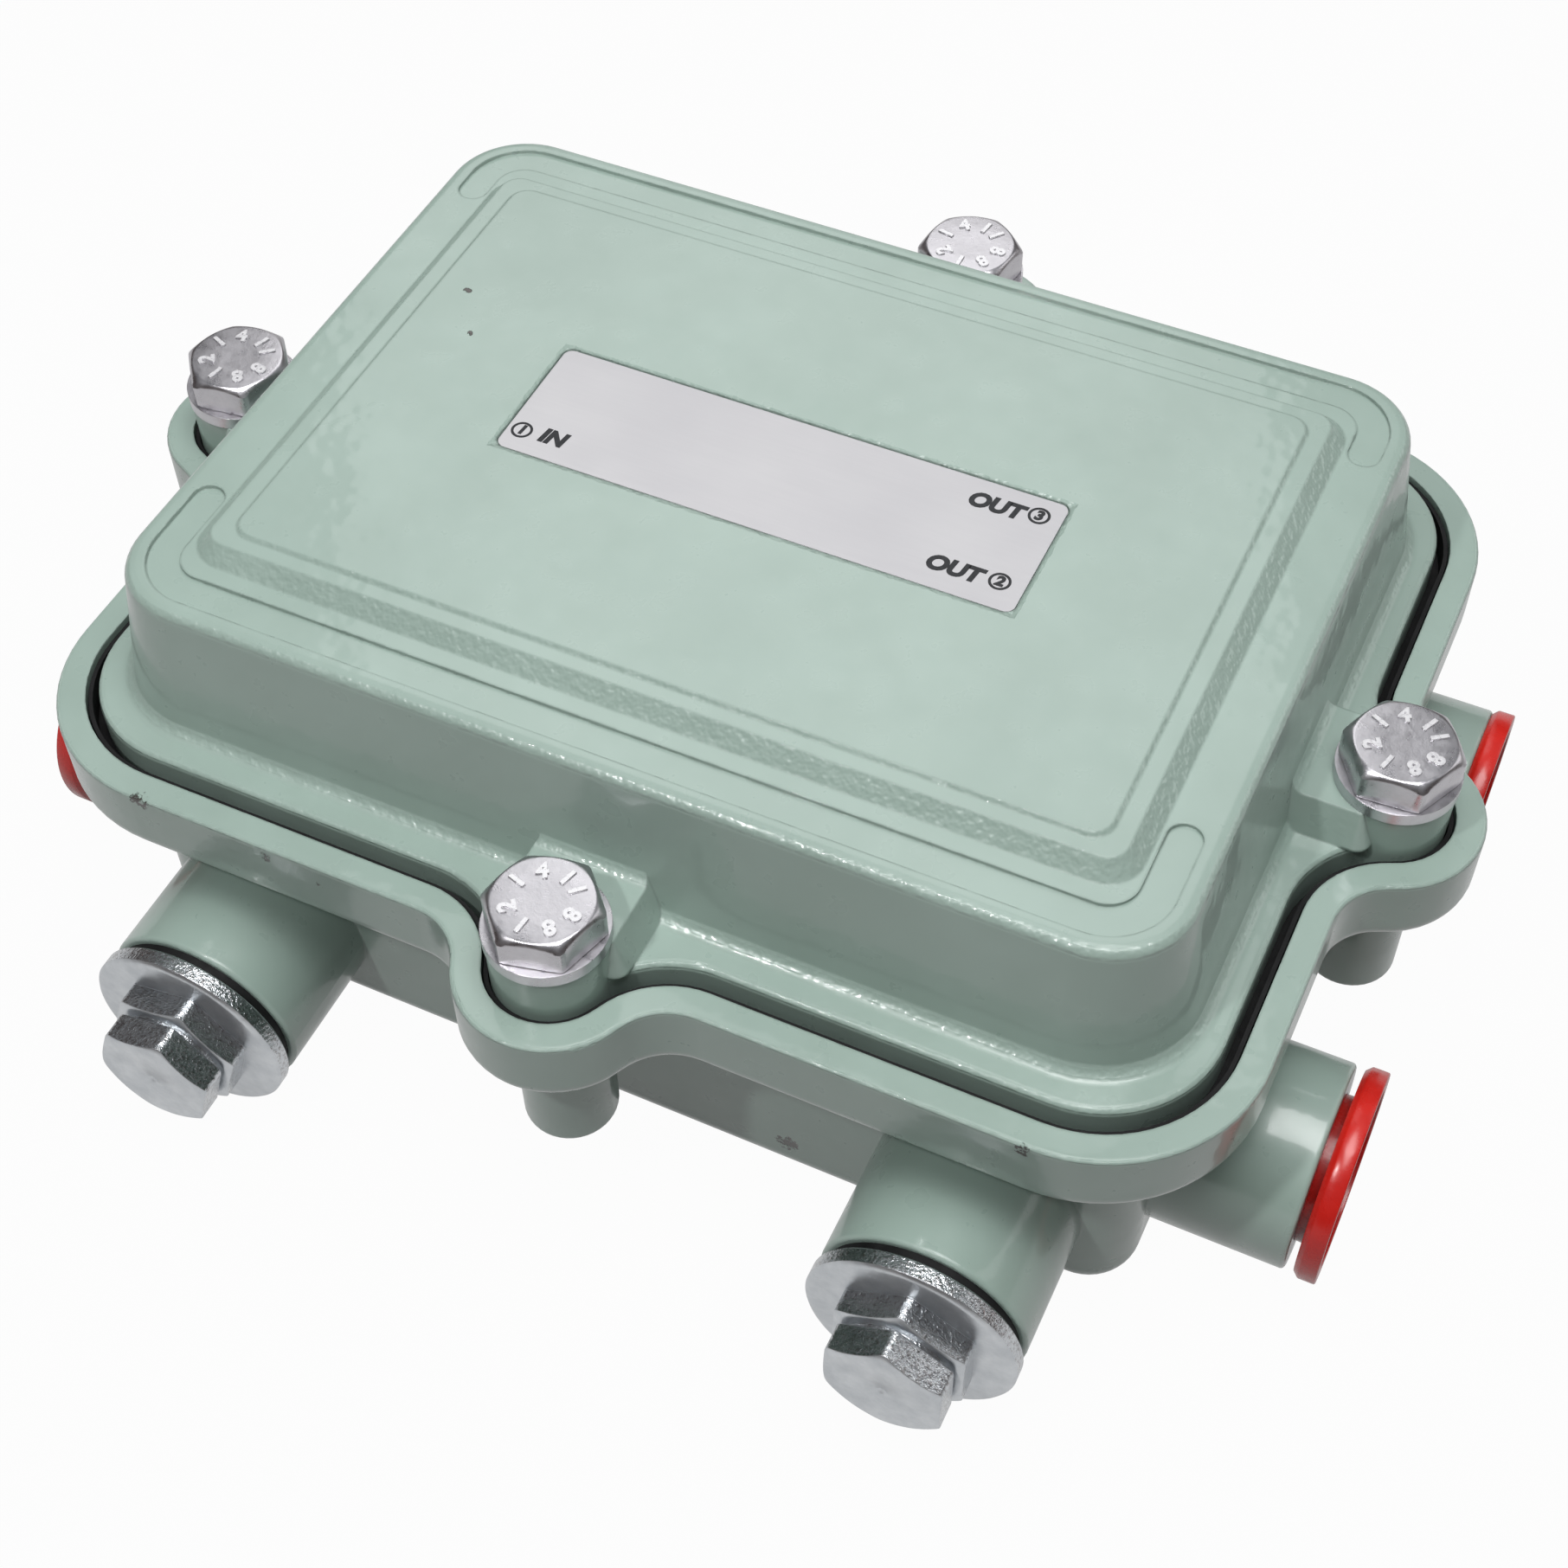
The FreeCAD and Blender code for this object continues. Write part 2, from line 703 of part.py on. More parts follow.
def block_foot(edge):
    """Is this an edge where the lid's block meets its flange?"""
    reach = " + (Size.block_z - Size.flange_z) * tan(Size.block_draft * 1 deg) + Size.foot_round"
    inside = not beyond(edge, "Plan.block_x" + reach, "Plan.block_y" + reach)
    return flat_at(edge, size("Size.flange_z")) and inside


def bolt_seats(body):
    """At each ear a round seat for the washer, bridged to the block's wall at the same height."""
    wall = ("Plan.block_x - Size.root", "Plan.block_y - Size.root")
    for name, (x, y) in BOLTS.items():
        bridge = new_sketch(body, "bridge_" + name, "Size.flange_z")
        draw_rounded(bridge, *towards_wall(name, wall, "Size.bridge_half"), "Size.bridge_corner")
        pad(body, bridge, "Size.seat_z - Size.flange_z", "-Size.bridge_draft * 1 deg")
        column = new_sketch(body, "seat_" + name, "Size.land_z")
        draw_circle(column, x, y, "Size.seat_radius")
        pad(body, column, "Size.seat_z - Size.land_z")
    draft = "(Size.block_z - Size.seat_z) * tan(Size.block_draft * 1 deg)"
    wall_x = "Plan.block_x + %s + Size.bridge_round" % draft
    wall_y = "Plan.block_y + %s + Size.bridge_round" % draft

    def at_wall(edge):
        return flat_at(edge, size("Size.seat_z")) and not beyond(edge, wall_x, wall_y)

    round_edges(body, "Size.bridge_round", at_wall)


def lid():
    """The upper casting: an eared flange under a tall drafted block with a raised panel on top."""
    body = new_body("Lid")
    flange = new_sketch(body, "flange", "Size.land_z")
    draw_eared(flange, "Size.rim_wall + Size.lid_gap")
    pad(body, flange, "Size.flange_z - Size.land_z")
    round_edges(body, "Size.flange_round", lambda e: flat_at(e, size("Size.flange_z")))

    rise = "(Size.block_z - Size.flange_z) * tan(Size.block_draft * 1 deg)"
    block = new_sketch(body, "block", "Size.flange_z")
    centred(block, "Plan.block_x + " + rise, "Plan.block_y + " + rise, "Size.block_corner + " + rise)
    pad(body, block, "Size.block_z - Size.flange_z", "-Size.block_draft * 1 deg")
    round_edges(body, "Size.block_round", lambda e: flat_at(e, size("Size.block_z")))
    round_edges(body, "Size.foot_round", block_foot)
    bolt_seats(body)

    shoulder_channel(body, "shoulder_front", -1, "Plan.shoulder_y - Size.shoulder_front_arm")
    shoulder_channel(body, "shoulder_back", 1, "Plan.shoulder_y - Size.shoulder_back_arm")

    plateau = new_sketch(body, "plateau", "Size.block_z")
    centred(plateau, "Plan.plateau_x", "Plan.plateau_y", "Size.plateau_corner")
    pad(body, plateau, "Size.plateau_rise", "-Size.slope_angle * 1 deg")
    panel = new_sketch(body, "panel", "Size.block_z + Size.plateau_rise")
    centred(panel, "Plan.panel_x", "Plan.panel_y", "Size.panel_corner")
    pad(body, panel, "Size.panel_rise", "-Size.slope_angle * 1 deg")
    recess = new_sketch(body, "label_recess", "Plan.top_z")
    centred(recess, "Size.label_half_x", "Size.label_half_y", "Size.label_corner")
    pocket(body, recess, "Size.label_recess")

    hollow = new_sketch(body, "hollow", "Size.land_z")
    depth = "Size.block_z - Size.lid_roof - Size.land_z"
    spread = "(%s) * tan(Size.block_draft * 1 deg)" % depth
    centred(
        hollow,
        "Plan.block_x - Size.lid_wall + " + spread,
        "Plan.block_y - Size.lid_wall + " + spread,
        "Size.block_corner - Size.lid_wall + " + spread,
    )
    pocket(body, hollow, depth, "-Size.block_draft * 1 deg", up=True)
    holes = new_sketch(body, "lid_holes", "Size.seat_z")
    for x, y in BOLTS.values():
        draw_circle(holes, x, y, "Size.lid_hole")
    pocket(body, holes, "Size.seat_z - Size.land_z")
    return keep(body, "lid")


def label_plate():
    body = new_body("LabelPlate")
    face = new_sketch(body, "label_face", "Plan.top_z - Size.label_recess")
    centred(
        face,
        "Size.label_half_x - Size.label_clearance",
        "Size.label_half_y - Size.label_clearance",
        "Size.label_corner - Size.label_clearance",
    )
    pad(body, face, "Size.label_thick")
    return keep(body, "label_plate")


# turned, sawn and moulded pieces from plain solids


def solid(kind, name, **sizes):
    made = doc.addObject("Part::" + kind, name)
    for field, expression in sizes.items():
        bind(made, field, expression)
    return made


def cylinder(name, radius, length, z="0"):
    return place(solid("Cylinder", name, Radius=radius, Height=length), z=z)


def block_at(name, x, y, z, length, width, height):
    return place(solid("Box", name, Length=length, Width=width, Height=height), x, y, z)


def hexagon(name, flats, length, z="0"):
    made = solid("Prism", name, Circumradius="(%s) / sqrt(3)" % flats, Height=length)
    made.Polygon = 6
    return place(made, z=z)


def fuse(name, pieces):
    made = doc.addObject("Part::MultiFuse", name)
    made.Shapes = pieces
    return made


def cut(name, base, tool):
    made = doc.addObject("Part::Cut", name)
    made.Base = base
    made.Tool = tool
    return made


def crowned(name, flats, length, crown, z):
    """A hexagon whose outer corners are turned off by a cone."""
    prism = hexagon(name + "_prism", flats, length, z)
    corner = "(%s) / sqrt(3)" % flats
    body_part = cylinder(name + "_round", corner, "(%s) - (%s)" % (length, crown), z)
    tip = "(%s) / 2 - Size.crown_inside" % flats
    top = solid("Cone", name + "_cone", Radius1=corner, Radius2=tip, Height=crown)
    place(top, z="(%s) + (%s) - (%s)" % (z, length, crown))
    turned = fuse(name + "_turned", [body_part, top])
    made = doc.addObject("Part::Common", name)
    made.Base = prism
    made.Tool = turned
    return made


def bolts_and_washers():
    for name, (x, y) in BOLTS.items():
        shank = cylinder("shank_" + name, "Size.bolt_radius", "Size.bolt_length", "-Size.bolt_length")
        head = crowned("head_" + name, "Size.bolt_flats", "Size.bolt_head", "Size.bolt_crown", "0")
        bolt = fuse("bolt_" + name + "_whole", [shank, head])
        place(bolt, x, y, "Size.seat_z + Size.washer_thick", Rotation(Vector(0, 0, 1), HEX_TURN[name]))
        keep(bolt, "bolt_" + name)
        disc = cylinder("washer_disc_" + name, "Size.washer_radius", "Size.washer_thick")
        hole = cylinder("washer_hole_" + name, "Size.washer_hole", "Size.washer_thick")
        washer = cut("washer_" + name + "_whole", disc, hole)
        place(washer, x, y, "Size.seat_z")
        keep(washer, "washer_" + name)


# how far each bolt head was left turned after tightening, in degrees
HEX_TURN = {"front": 13.5, "right": 3.8, "back": 20.0, "left": 8.0}

# turns that carry +Z to the way each port faces
FACING = {
    "front": Rotation(Vector(1, 0, 0), 90),
    "back": Rotation(Vector(1, 0, 0), -90),
    "right": Rotation(Vector(0, 1, 0), 90),
    "left": Rotation(Vector(0, 1, 0), -90),
}

PLUGGED = {
    "front_left": ("front", "-Plan.port_x", "-Plan.front_end", 10.0),
    "front_right": ("front", "Plan.port_x", "-Plan.front_end", 12.0),
    "back_right": ("back", "Plan.port_x", "Plan.front_end", 25.0),
}

CAPPED = {
    "left_front": ("left", "-Plan.side_end", "-Plan.port_y"),
    "right_front": ("right", "Plan.side_end + Size.cap_proud", "-Plan.port_y"),
    "right_back": ("right", "Plan.side_end", "Plan.port_y"),
}


def port_plugs():
    """Screw plugs: a two-step hexagon on a flange, over a shank that fills the port."""
    shoulder = "Size.mouth_depth - Size.plug_shoulder_short"
    reach = "Size.plug_thread + Size.mouth_depth"
    thread = "Size.thread_radius - Size.plug_clearance"
    for name, (way, x, y, turn) in PLUGGED.items():
        parts = [
            cylinder(
                "plug_shoulder_" + name,
                "Size.mouth_radius - Size.plug_shoulder_clearance",
                shoulder + " + Size.seal_thick",
                "-(%s)" % shoulder,
            ),
            cylinder("plug_thread_" + name, thread, reach, "-(%s)" % reach),
            cylinder("plug_flange_" + name, "Size.plug_flange", "Size.plug_flange_thick", "Size.seal_thick"),
        ]
        level = "Size.seal_thick + Size.plug_flange_thick"
        crown = "Size.plug_crown"
        parts.append(crowned("plug_lower_" + name, "Size.plug_lower_flats", "Size.plug_lower", crown, level))
        level += " + Size.plug_lower"
        parts.append(cylinder("plug_neck_" + name, "Size.plug_neck_radius", "Size.plug_neck", level))
        level += " + Size.plug_neck"
        parts.append(crowned("plug_upper_" + name, "Size.plug_upper_flats", "Size.plug_upper", crown, level))
        dimple = solid(
            "Cone",
            "plug_dimple_" + name,
            Radius1="Size.plug_dimple_floor",
            Radius2="Size.plug_dimple",
            Height="Size.plug_dimple",
        )
        place(dimple, z=level + " + Size.plug_upper - Size.plug_dimple")
        plug = cut("plug_" + name + "_whole", fuse("plug_body_" + name, parts), dimple)
        place(plug, x, y, "Size.port_z", FACING[way].multiply(Rotation(Vector(0, 0, 1), turn)))
        keep(plug, "port_plug_" + name)
        disc = cylinder("seal_disc_" + name, "Size.seal_radius", "Size.seal_thick")
        hole = cylinder("seal_hole_" + name, "Size.mouth_radius", "Size.seal_thick")
        seal = cut("seal_" + name + "_whole", disc, hole)
        place(seal, x, y, "Size.port_z", FACING[way])
        keep(seal, "plug_seal_" + name)


def port_caps():
    """Soft red push-in caps: a bevelled flange, hollow in front, with a cup that fills the port's mouth."""
    body_radius = "Size.mouth_radius - Size.cap_body_clearance"
    for name, (way, x, y) in CAPPED.items():
        bevel = solid(
            "Cone",
            "cap_bevel_" + name,
            Radius1="Size.cap_flange - Size.cap_bevel",
            Radius2="Size.cap_flange",
            Height="Size.cap_bevel",
        )
        rest = "Size.cap_flange_thick - Size.cap_bevel"
        flange = cylinder("cap_flange_" + name, "Size.cap_flange", rest, "Size.cap_bevel")
        shank = cylinder("cap_body_" + name, body_radius, "Size.cap_body + Size.cap_bevel", "-Size.cap_body")
        cup = cylinder(
            "cap_cup_" + name,
            body_radius + " - Size.cap_wall",
            "Size.cap_body + Size.cap_flange_thick - Size.cap_end",
            "Size.cap_end - Size.cap_body",
        )
        recess = cylinder(
            "cap_recess_" + name,
            "Size.cap_flange - Size.cap_lip",
            "Size.cap_recess",
            "Size.cap_flange_thick - Size.cap_recess",
        )
        whole = fuse("cap_solid_" + name, [bevel, flange, shank])
        cap = cut("cap_" + name + "_whole", whole, fuse("cap_hollows_" + name, [cup, recess]))
        place(cap, x, y, "Size.port_z", FACING[way])
        keep(cap, "port_cap_" + name)


def crosswise(sx, sy):
    """The two ways out of a line's terminal: the name, the turn of +Z to it and its sign."""
    return (
        ("x", Rotation(Vector(0, 1, 0), 90 * sx), sx),
        ("y", Rotation(Vector(1, 0, 0), -90 * sy), sy),
    )


def along_way(way, expression):
    return (expression, "0") if way == "x" else ("0", expression)


def square_block(name, half, bottom, top):
    """An upright block with a square plan about the origin."""
    side = "2 * (%s)" % half
    corner = "-(%s)" % half
    return block_at(name, corner, corner, bottom, side, side, "(%s) - (%s)" % (top, bottom))


def terminals():
    """A brass clamping block in a moulded holder at each line's corner, where its two port axes cross."""
    for name, (sx, sy) in LINES.items():
        x, y = signed(sx, "Plan.port_x"), signed(sy, "Plan.port_y")
        for piece, label in (
            (terminal_holder(name, sx, sy), "terminal_holder_"),
            (terminal_block(name, sx, sy), "terminal_"),
            (clamp_screw(name), "clamp_screw_"),
        ):
            place(piece, x, y)
            keep(piece, label + name)


def terminal_holder(name, sx, sy):
    outer = square_block("holder_block_" + name, "Size.holder_half", "Size.floor_thick", "Size.holder_top")
    bottom = "Size.floor_thick + Size.holder_floor"
    room = "Size.block_half + Size.block_clearance"
    nest = square_block("holder_nest_" + name, room, bottom, "Size.holder_top + Size.root")
    guides = []
    for way, turn, sign in crosswise(sx, sy):
        guide = solid(
            "Cone",
            "guide_%s_%s" % (way, name),
            Radius1="Size.pin_hole",
            Radius2="Size.guide_radius",
            Height="Size.holder_half - Size.block_half",
        )
        guides.append(place(guide, *along_way(way, signed(sign, "Size.block_half")), "Size.port_z", turn))
    return cut("holder_%s_whole" % name, outer, fuse("holder_cuts_" + name, [nest] + guides))


def terminal_block(name, sx, sy):
    bottom = "Size.floor_thick + Size.holder_floor"
    brass = square_block("brass_" + name, "Size.block_half", bottom, "Size.block_top")
    root = "Size.block_top - Size.root"
    post = cylinder("post_" + name, "Size.post_radius", "Size.post_top - (%s)" % root)
    place(post, signed(-sx, "Size.post_offset"), signed(-sy, "Size.post_offset"), root)
    bores = [
        cylinder(
            "clamp_bore_" + name,
            "Size.clamp_radius + Size.clamp_clearance",
            "Size.block_top - Size.port_z",
            "Size.port_z",
        )
    ]
    for way, turn, _ in crosswise(1, 1):
        bore = solid(
            "Cylinder", "pin_bore_%s_%s" % (way, name), Radius="Size.pin_hole", Height="2 * Size.block_half"
        )
        bores.append(place(bore, *along_way(way, "-Size.block_half"), "Size.port_z", turn))
    whole = fuse("terminal_solid_" + name, [brass, post])
    return cut("terminal_%s_whole" % name, whole, fuse("terminal_cuts_" + name, bores))


def clamp_screw(name):
    under = "Size.block_top + Size.clamp_lift"
    shank = cylinder(
        "clamp_shank_" + name,
        "Size.clamp_radius",
        "%s + Size.clamp_root - Size.clamp_tip" % under,
        "Size.clamp_tip",
    )
    head = cylinder("clamp_head_" + name, "Size.clamp_head", "Size.clamp_head_thick", under)
    slot = block_at(
        "clamp_slot_" + name,
        "-Size.clamp_head",
        "-Size.clamp_slot / 2",
        "%s + Size.clamp_head_thick - Size.clamp_slot_depth" % under,
        "2 * Size.clamp_head",
        "Size.clamp_slot",
        "Size.clamp_slot_depth",
    )
    return cut("clamp_screw_%s_whole" % name, fuse("clamp_solid_" + name, [shank, head]), slot)


def circuit_board():
    body = new_body("CircuitBoard")
    sheet_face = new_sketch(body, "board_face", "Size.board_z")
    centred(sheet_face, "Plan.board_x", "Plan.board_y", "Size.board_corner")
    pad(body, sheet_face, "Size.board_thick")
    holes = new_sketch(body, "board_holes", "Plan.board_top")
    for sx, sy in LINES.values():
        x, y = signed(sx, "Plan.port_x"), signed(sy, "Plan.port_y")
        draw_circle(holes, x, y, "Size.access_hole")
        post_x, post_y = signed(-sx, "Size.post_offset"), signed(-sy, "Size.post_offset")
        draw_circle(
            holes, "%s + %s" % (x, post_x), "%s + %s" % (y, post_y), "Size.post_radius + Size.post_clearance"
        )
    for x, y in STANDS:
        draw_circle(holes, x, y, "Size.screw_radius + Size.screw_clearance")
    pocket(body, holes, "Size.board_thick")
    return keep(body, "circuit_board")


def board_screws():
    pieces = []
    for i, (x, y) in enumerate(STANDS):
        shank = cylinder(
            "screw_shank_%d" % i, "Size.screw_radius", "Size.screw_depth + Size.root", "-Size.screw_depth"
        )
        head = cylinder("screw_head_%d" % i, "Size.screw_head", "Size.screw_head_thick")
        pieces.append(place(fuse("screw_%d" % i, [shank, head]), x, y, "Plan.board_top"))
    group = doc.addObject("Part::Compound", "screws_whole")
    group.Links = pieces
    return keep(group, "board_screws")


def chokes():
    """A ferrite rod with one layer of enamelled wire for each line, its ends bent down to the board."""
    wire, turns, pitch = size("Size.wire_radius"), int(size("Size.coil_turns")), size("Size.coil_pitch")
    if pitch - 2 * wire <= size("Size.coil_least_gap"):
        raise RuntimeError("the turns of the choke lie too close")
    mean = "Size.rod_radius + Size.coil_clearance + Size.wire_radius"
    axis_z = "Plan.board_top + %s + Size.wire_radius + Size.lead_drop" % mean
    drop = size(axis_z) - size("Plan.board_top")
    for name, (sx, sy) in LINES.items():
        x, y = signed(sx, "Plan.choke_x"), signed(sy, "Plan.choke_y")
        rod = cylinder("rod_" + name, "Size.rod_radius", "Size.rod_length", "0")
        place(rod, "%s - Size.rod_length / 2" % x, y, axis_z, Rotation(Vector(0, 1, 0), 90))
        keep(rod, "choke_core_" + name)
        coil = doc.addObject("Part::Feature", "coil_" + name)
        coil.Shape = wound_wire(size(mean), wire, pitch, turns, drop)
        keep(place(coil, x, y, axis_z), "choke_coil_" + name)


def wound_wire(mean, wire, pitch, turns, drop):
    """One unbroken wire about the X axis: a lead up, turns in quarter arcs and a lead down."""
    count = turns * 4 + 2
    start = -count / 4 * pitch / 2

    def along(k):
        """Point and direction of travel after k quarter turns, from the coil's side."""
        angle = k * math.pi / 2
        place_x = start + k * pitch / 4
        point = Vector(place_x, mean * math.cos(angle), mean * math.sin(angle))
        travel = Vector(pitch / (2 * math.pi), -mean * math.sin(angle), mean * math.cos(angle))
        travel.normalize()
        return point, travel

    edges = []
    first, travel = along(0)
    edges.append(Part.LineSegment(Vector(first.x, first.y, -drop), first).toShape())
    lead = Vector(0, 0, 1)
    for k in range(count):
        here, t0 = along(k)
        there, t1 = along(k + 1)
        if k == 0:
            t0 = lead
        if k == count - 1:
            t1 = Vector(0, 0, -1)
        edges.extend(two_arcs(here, t0, there, t1))
    last, _ = along(count)
    edges.append(Part.LineSegment(last, Vector(last.x, last.y, -drop)).toShape())
    path = Part.Wire(edges)
    ring = Part.Wire([Part.Circle(Vector(first.x, first.y, -drop), lead, wire).toShape()])
    tube = path.makePipeShell([ring], True, False)
    print("coil: wire %.1f mm long, gap between turns %.2f mm" % (path.Length, pitch - 2 * wire))
    return tube


def two_arcs(start, t0, end, t1):
    """Two arcs that leave start along t0, meet smoothly and reach end along t1."""
    chord = end - start
    along = t0 + t1
    a = 2 * (1 - t0.dot(t1))
    b = 2 * chord.dot(along)
    c = -chord.dot(chord)
    reach = (-b + math.sqrt(b * b - 4 * a * c)) / (2 * a) if a > 1e-9 else -c / b
    middle = (start + t0 * reach + end - t1 * reach) * 0.5
    arcs = []
    for a0, tangent, a1 in ((start, t0, middle), (middle, None, end)):
        if tangent is None:
            tangent = (end - t1 * reach - middle).normalize()
        arcs.append(arc_from(a0, tangent, a1))
    return arcs


def arc_from(start, tangent, end):
    chord = end - start
    side = chord - tangent * chord.dot(tangent)
    side.normalize()
    radius = chord.dot(chord) / (2 * chord.dot(side))
    centre = start + side * radius
    half = (start + end) * 0.5 - centre
    half.normalize()
    return Part.Arc(start, centre + half * radius, end).toShape()


def board_parts():
    """Ferrite transformer cores, fuses in their clips, disc capacitors and a surge arrester."""
    for name, side in (("splitter", -1), ("matching", 1)):
        core = place(transformer_core(name), "0", signed(side, "Size.core_place"), "Plan.board_top")
        keep(core, name + "_transformer")
    for name, (sx, sy) in LINES.items():
        x, y = signed(sx, "Plan.fuse_x"), signed(sy, "Size.fuse_place_y")
        keep(place(fuse_clip(name), x, y, "Plan.board_top"), "fuse_holder_" + name)
        keep(place(blade_fuse(name), x, y, "Plan.board_top + Size.clip_floor"), "fuse_" + name)

    discs = []
    for i, (sx, sy) in enumerate(((-1, -1), (0, -1), (1, -1), (-1, 1), (0, 1), (1, 1))):
        disc = solid("Cylinder", "disc_%d" % i, Radius="Size.disc_radius", Height="Size.disc_thick")
        x = "%d * Size.disc_step - Size.disc_thick / 2" % sx
        y = signed(sy, "Size.disc_place + Size.disc_radius")
        discs.append(place(disc, x, y, "Plan.board_top + Size.disc_radius", Rotation(Vector(0, 1, 0), 90)))
    group = doc.addObject("Part::Compound", "discs_whole")
    group.Links = discs
    keep(group, "disc_capacitors")
    tube = solid("Cylinder", "arrester", Radius="Size.tube_radius", Height="Size.tube_length")
    x = "-Size.tube_place - Size.tube_length / 2"
    place(tube, x, "Plan.choke_y", "Plan.board_top + Size.tube_radius", Rotation(Vector(0, 1, 0), 90))
    keep(tube, "surge_arrester")


def flat_block(name, length, width, bottom, height):
    """A block about the Z axis."""
    return block_at(name, "-(%s) / 2" % length, "-(%s) / 2" % width, bottom, length, width, height)


def transformer_core(name):
    """A ferrite block with two holes for its windings."""
    core = flat_block("core_block_" + name, "Size.core_x", "Size.core_y", "0", "Size.core_height")
    bores = []
    for end in (-1, 1):
        label = "core_bore_%s_%d" % (name, end + 1)
        bore = solid("Cylinder", label, Radius="Size.core_bore", Height="Size.core_y")
        x = signed(end, "Size.core_x / 4")
        turn = Rotation(Vector(1, 0, 0), -90)
        bores.append(place(bore, x, "-Size.core_y / 2", "Size.core_height / 2", turn))
    return cut("core_%s_whole" % name, core, fuse("core_bores_" + name, bores))


def fuse_clip(name):
    outer_x, outer_y = "Size.fuse_x + 2 * Size.clip_wall", "Size.fuse_y + 2 * Size.clip_wall"
    room_x, room_y = "Size.fuse_x + 2 * Size.fuse_clearance", "Size.fuse_y + 2 * Size.fuse_clearance"
    shell = flat_block("clip_block_" + name, outer_x, outer_y, "0", "Size.clip_height")
    room = flat_block("clip_room_" + name, room_x, room_y, "Size.clip_floor", "Size.clip_height")
    return cut("clip_%s_whole" % name, shell, room)


def blade_fuse(name):
    whole = flat_block("fuse_block_" + name, "Size.fuse_x", "Size.fuse_y", "0", "Size.fuse_height")
    waist = block_at(
        "fuse_waist_" + name,
        "-Size.fuse_x / 4",
        "-Size.fuse_y / 2",
        "Size.fuse_height - Size.fuse_waist",
        "Size.fuse_x / 2",
        "Size.fuse_y / 4",
        "Size.fuse_waist",
    )
    return cut("fuse_%s_whole" % name, whole, waist)


def check_and_write():
    doc.recompute()
    for thing in doc.Objects:
        bad = [state for state in thing.State if state in ("Invalid", "Error")]
        if bad:
            raise RuntimeError("%s: %s" % (thing.Label, bad))
    for label, before, after in CUTS:
        if not after < before - 1e-3:
            raise RuntimeError("%s took nothing away" % label)
    os.makedirs("parts", exist_ok=True)
    for piece in PARTS:
        shape = piece.Shape
        if shape.isNull() or not shape.isValid():
            raise RuntimeError("%s has no good shape" % piece.Label)
        print("%-28s solids %d  volume %9.1f" % (piece.Label, len(shape.Solids), shape.Volume))
        shape.exportStep("parts/%s.step" % piece.Label)


base_housing()
weather_seal()
mesh_seal()
lid()
label_plate()
bolts_and_washers()
port_plugs()
port_caps()
terminals()
circuit_board()
board_screws()
chokes()
board_parts()
check_and_write()
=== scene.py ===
import json
import math

import bpy
from mathutils import Matrix, Vector

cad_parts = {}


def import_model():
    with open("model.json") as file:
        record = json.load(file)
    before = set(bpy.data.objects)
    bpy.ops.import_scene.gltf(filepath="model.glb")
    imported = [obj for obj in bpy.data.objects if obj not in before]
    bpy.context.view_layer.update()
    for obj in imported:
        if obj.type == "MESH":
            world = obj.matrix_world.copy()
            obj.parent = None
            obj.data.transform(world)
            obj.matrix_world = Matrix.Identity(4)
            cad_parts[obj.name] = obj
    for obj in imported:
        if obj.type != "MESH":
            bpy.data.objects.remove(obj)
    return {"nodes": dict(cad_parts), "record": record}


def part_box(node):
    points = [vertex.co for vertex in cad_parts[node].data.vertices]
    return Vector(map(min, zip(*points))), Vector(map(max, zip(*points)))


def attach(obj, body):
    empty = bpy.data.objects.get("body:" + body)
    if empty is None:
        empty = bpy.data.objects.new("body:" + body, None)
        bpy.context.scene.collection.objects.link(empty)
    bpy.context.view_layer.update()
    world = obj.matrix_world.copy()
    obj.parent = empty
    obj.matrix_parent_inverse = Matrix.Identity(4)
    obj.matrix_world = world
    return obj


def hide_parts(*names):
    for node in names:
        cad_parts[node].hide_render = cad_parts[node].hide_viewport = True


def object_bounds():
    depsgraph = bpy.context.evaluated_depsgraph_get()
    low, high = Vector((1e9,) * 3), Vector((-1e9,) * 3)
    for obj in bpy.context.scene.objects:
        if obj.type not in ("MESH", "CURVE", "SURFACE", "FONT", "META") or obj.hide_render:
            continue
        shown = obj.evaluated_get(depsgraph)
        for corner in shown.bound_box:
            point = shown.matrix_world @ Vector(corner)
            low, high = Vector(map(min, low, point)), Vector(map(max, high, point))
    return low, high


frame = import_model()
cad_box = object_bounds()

# Coaxial line splitter: looks, fine details, light and camera. Metres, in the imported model's frame.

MM = 0.001
NODES = frame["nodes"]
SCENE = bpy.context.scene

# the photograph's viewpoint
VIEW_AZIMUTH = math.radians(26.19)
VIEW_ELEVATION = math.radians(51.31)
VIEW_ROLL = math.radians(-1.22)
VIEW_DISTANCE = 265.9 * MM
VIEW_ASIDE = 0.5 * MM
VIEW_BELOW = -31.2 * MM
VIEW_HEIGHT = 56.5 * MM
LENS = 57.67

# lid bolts
SIDES = ("front", "right", "back", "left")
BOLT_TURN = {"front": 13.5, "right": 3.8, "back": 20.0, "left": 8.0}
HEAD_FLATS = 11.1 * MM
HEAD_HIGH = 4.0 * MM
HEAD_FACE = 3.84 * MM
HEAD_SLOPE = 28.0
HEAD_CHAMFER = 0.93
HEAD_SHOULDER = 0.3 * MM
BOLT_PITCH = 1.27 * MM
BOLT_THREAD_DEPTH = 0.68 * MM
BOLT_PLAIN = 6.0 * MM
BOLT_LENGTH = 25.4 * MM
BOLT_RADIUS = 3.1 * MM
BOLT_POINT = 0.9 * MM

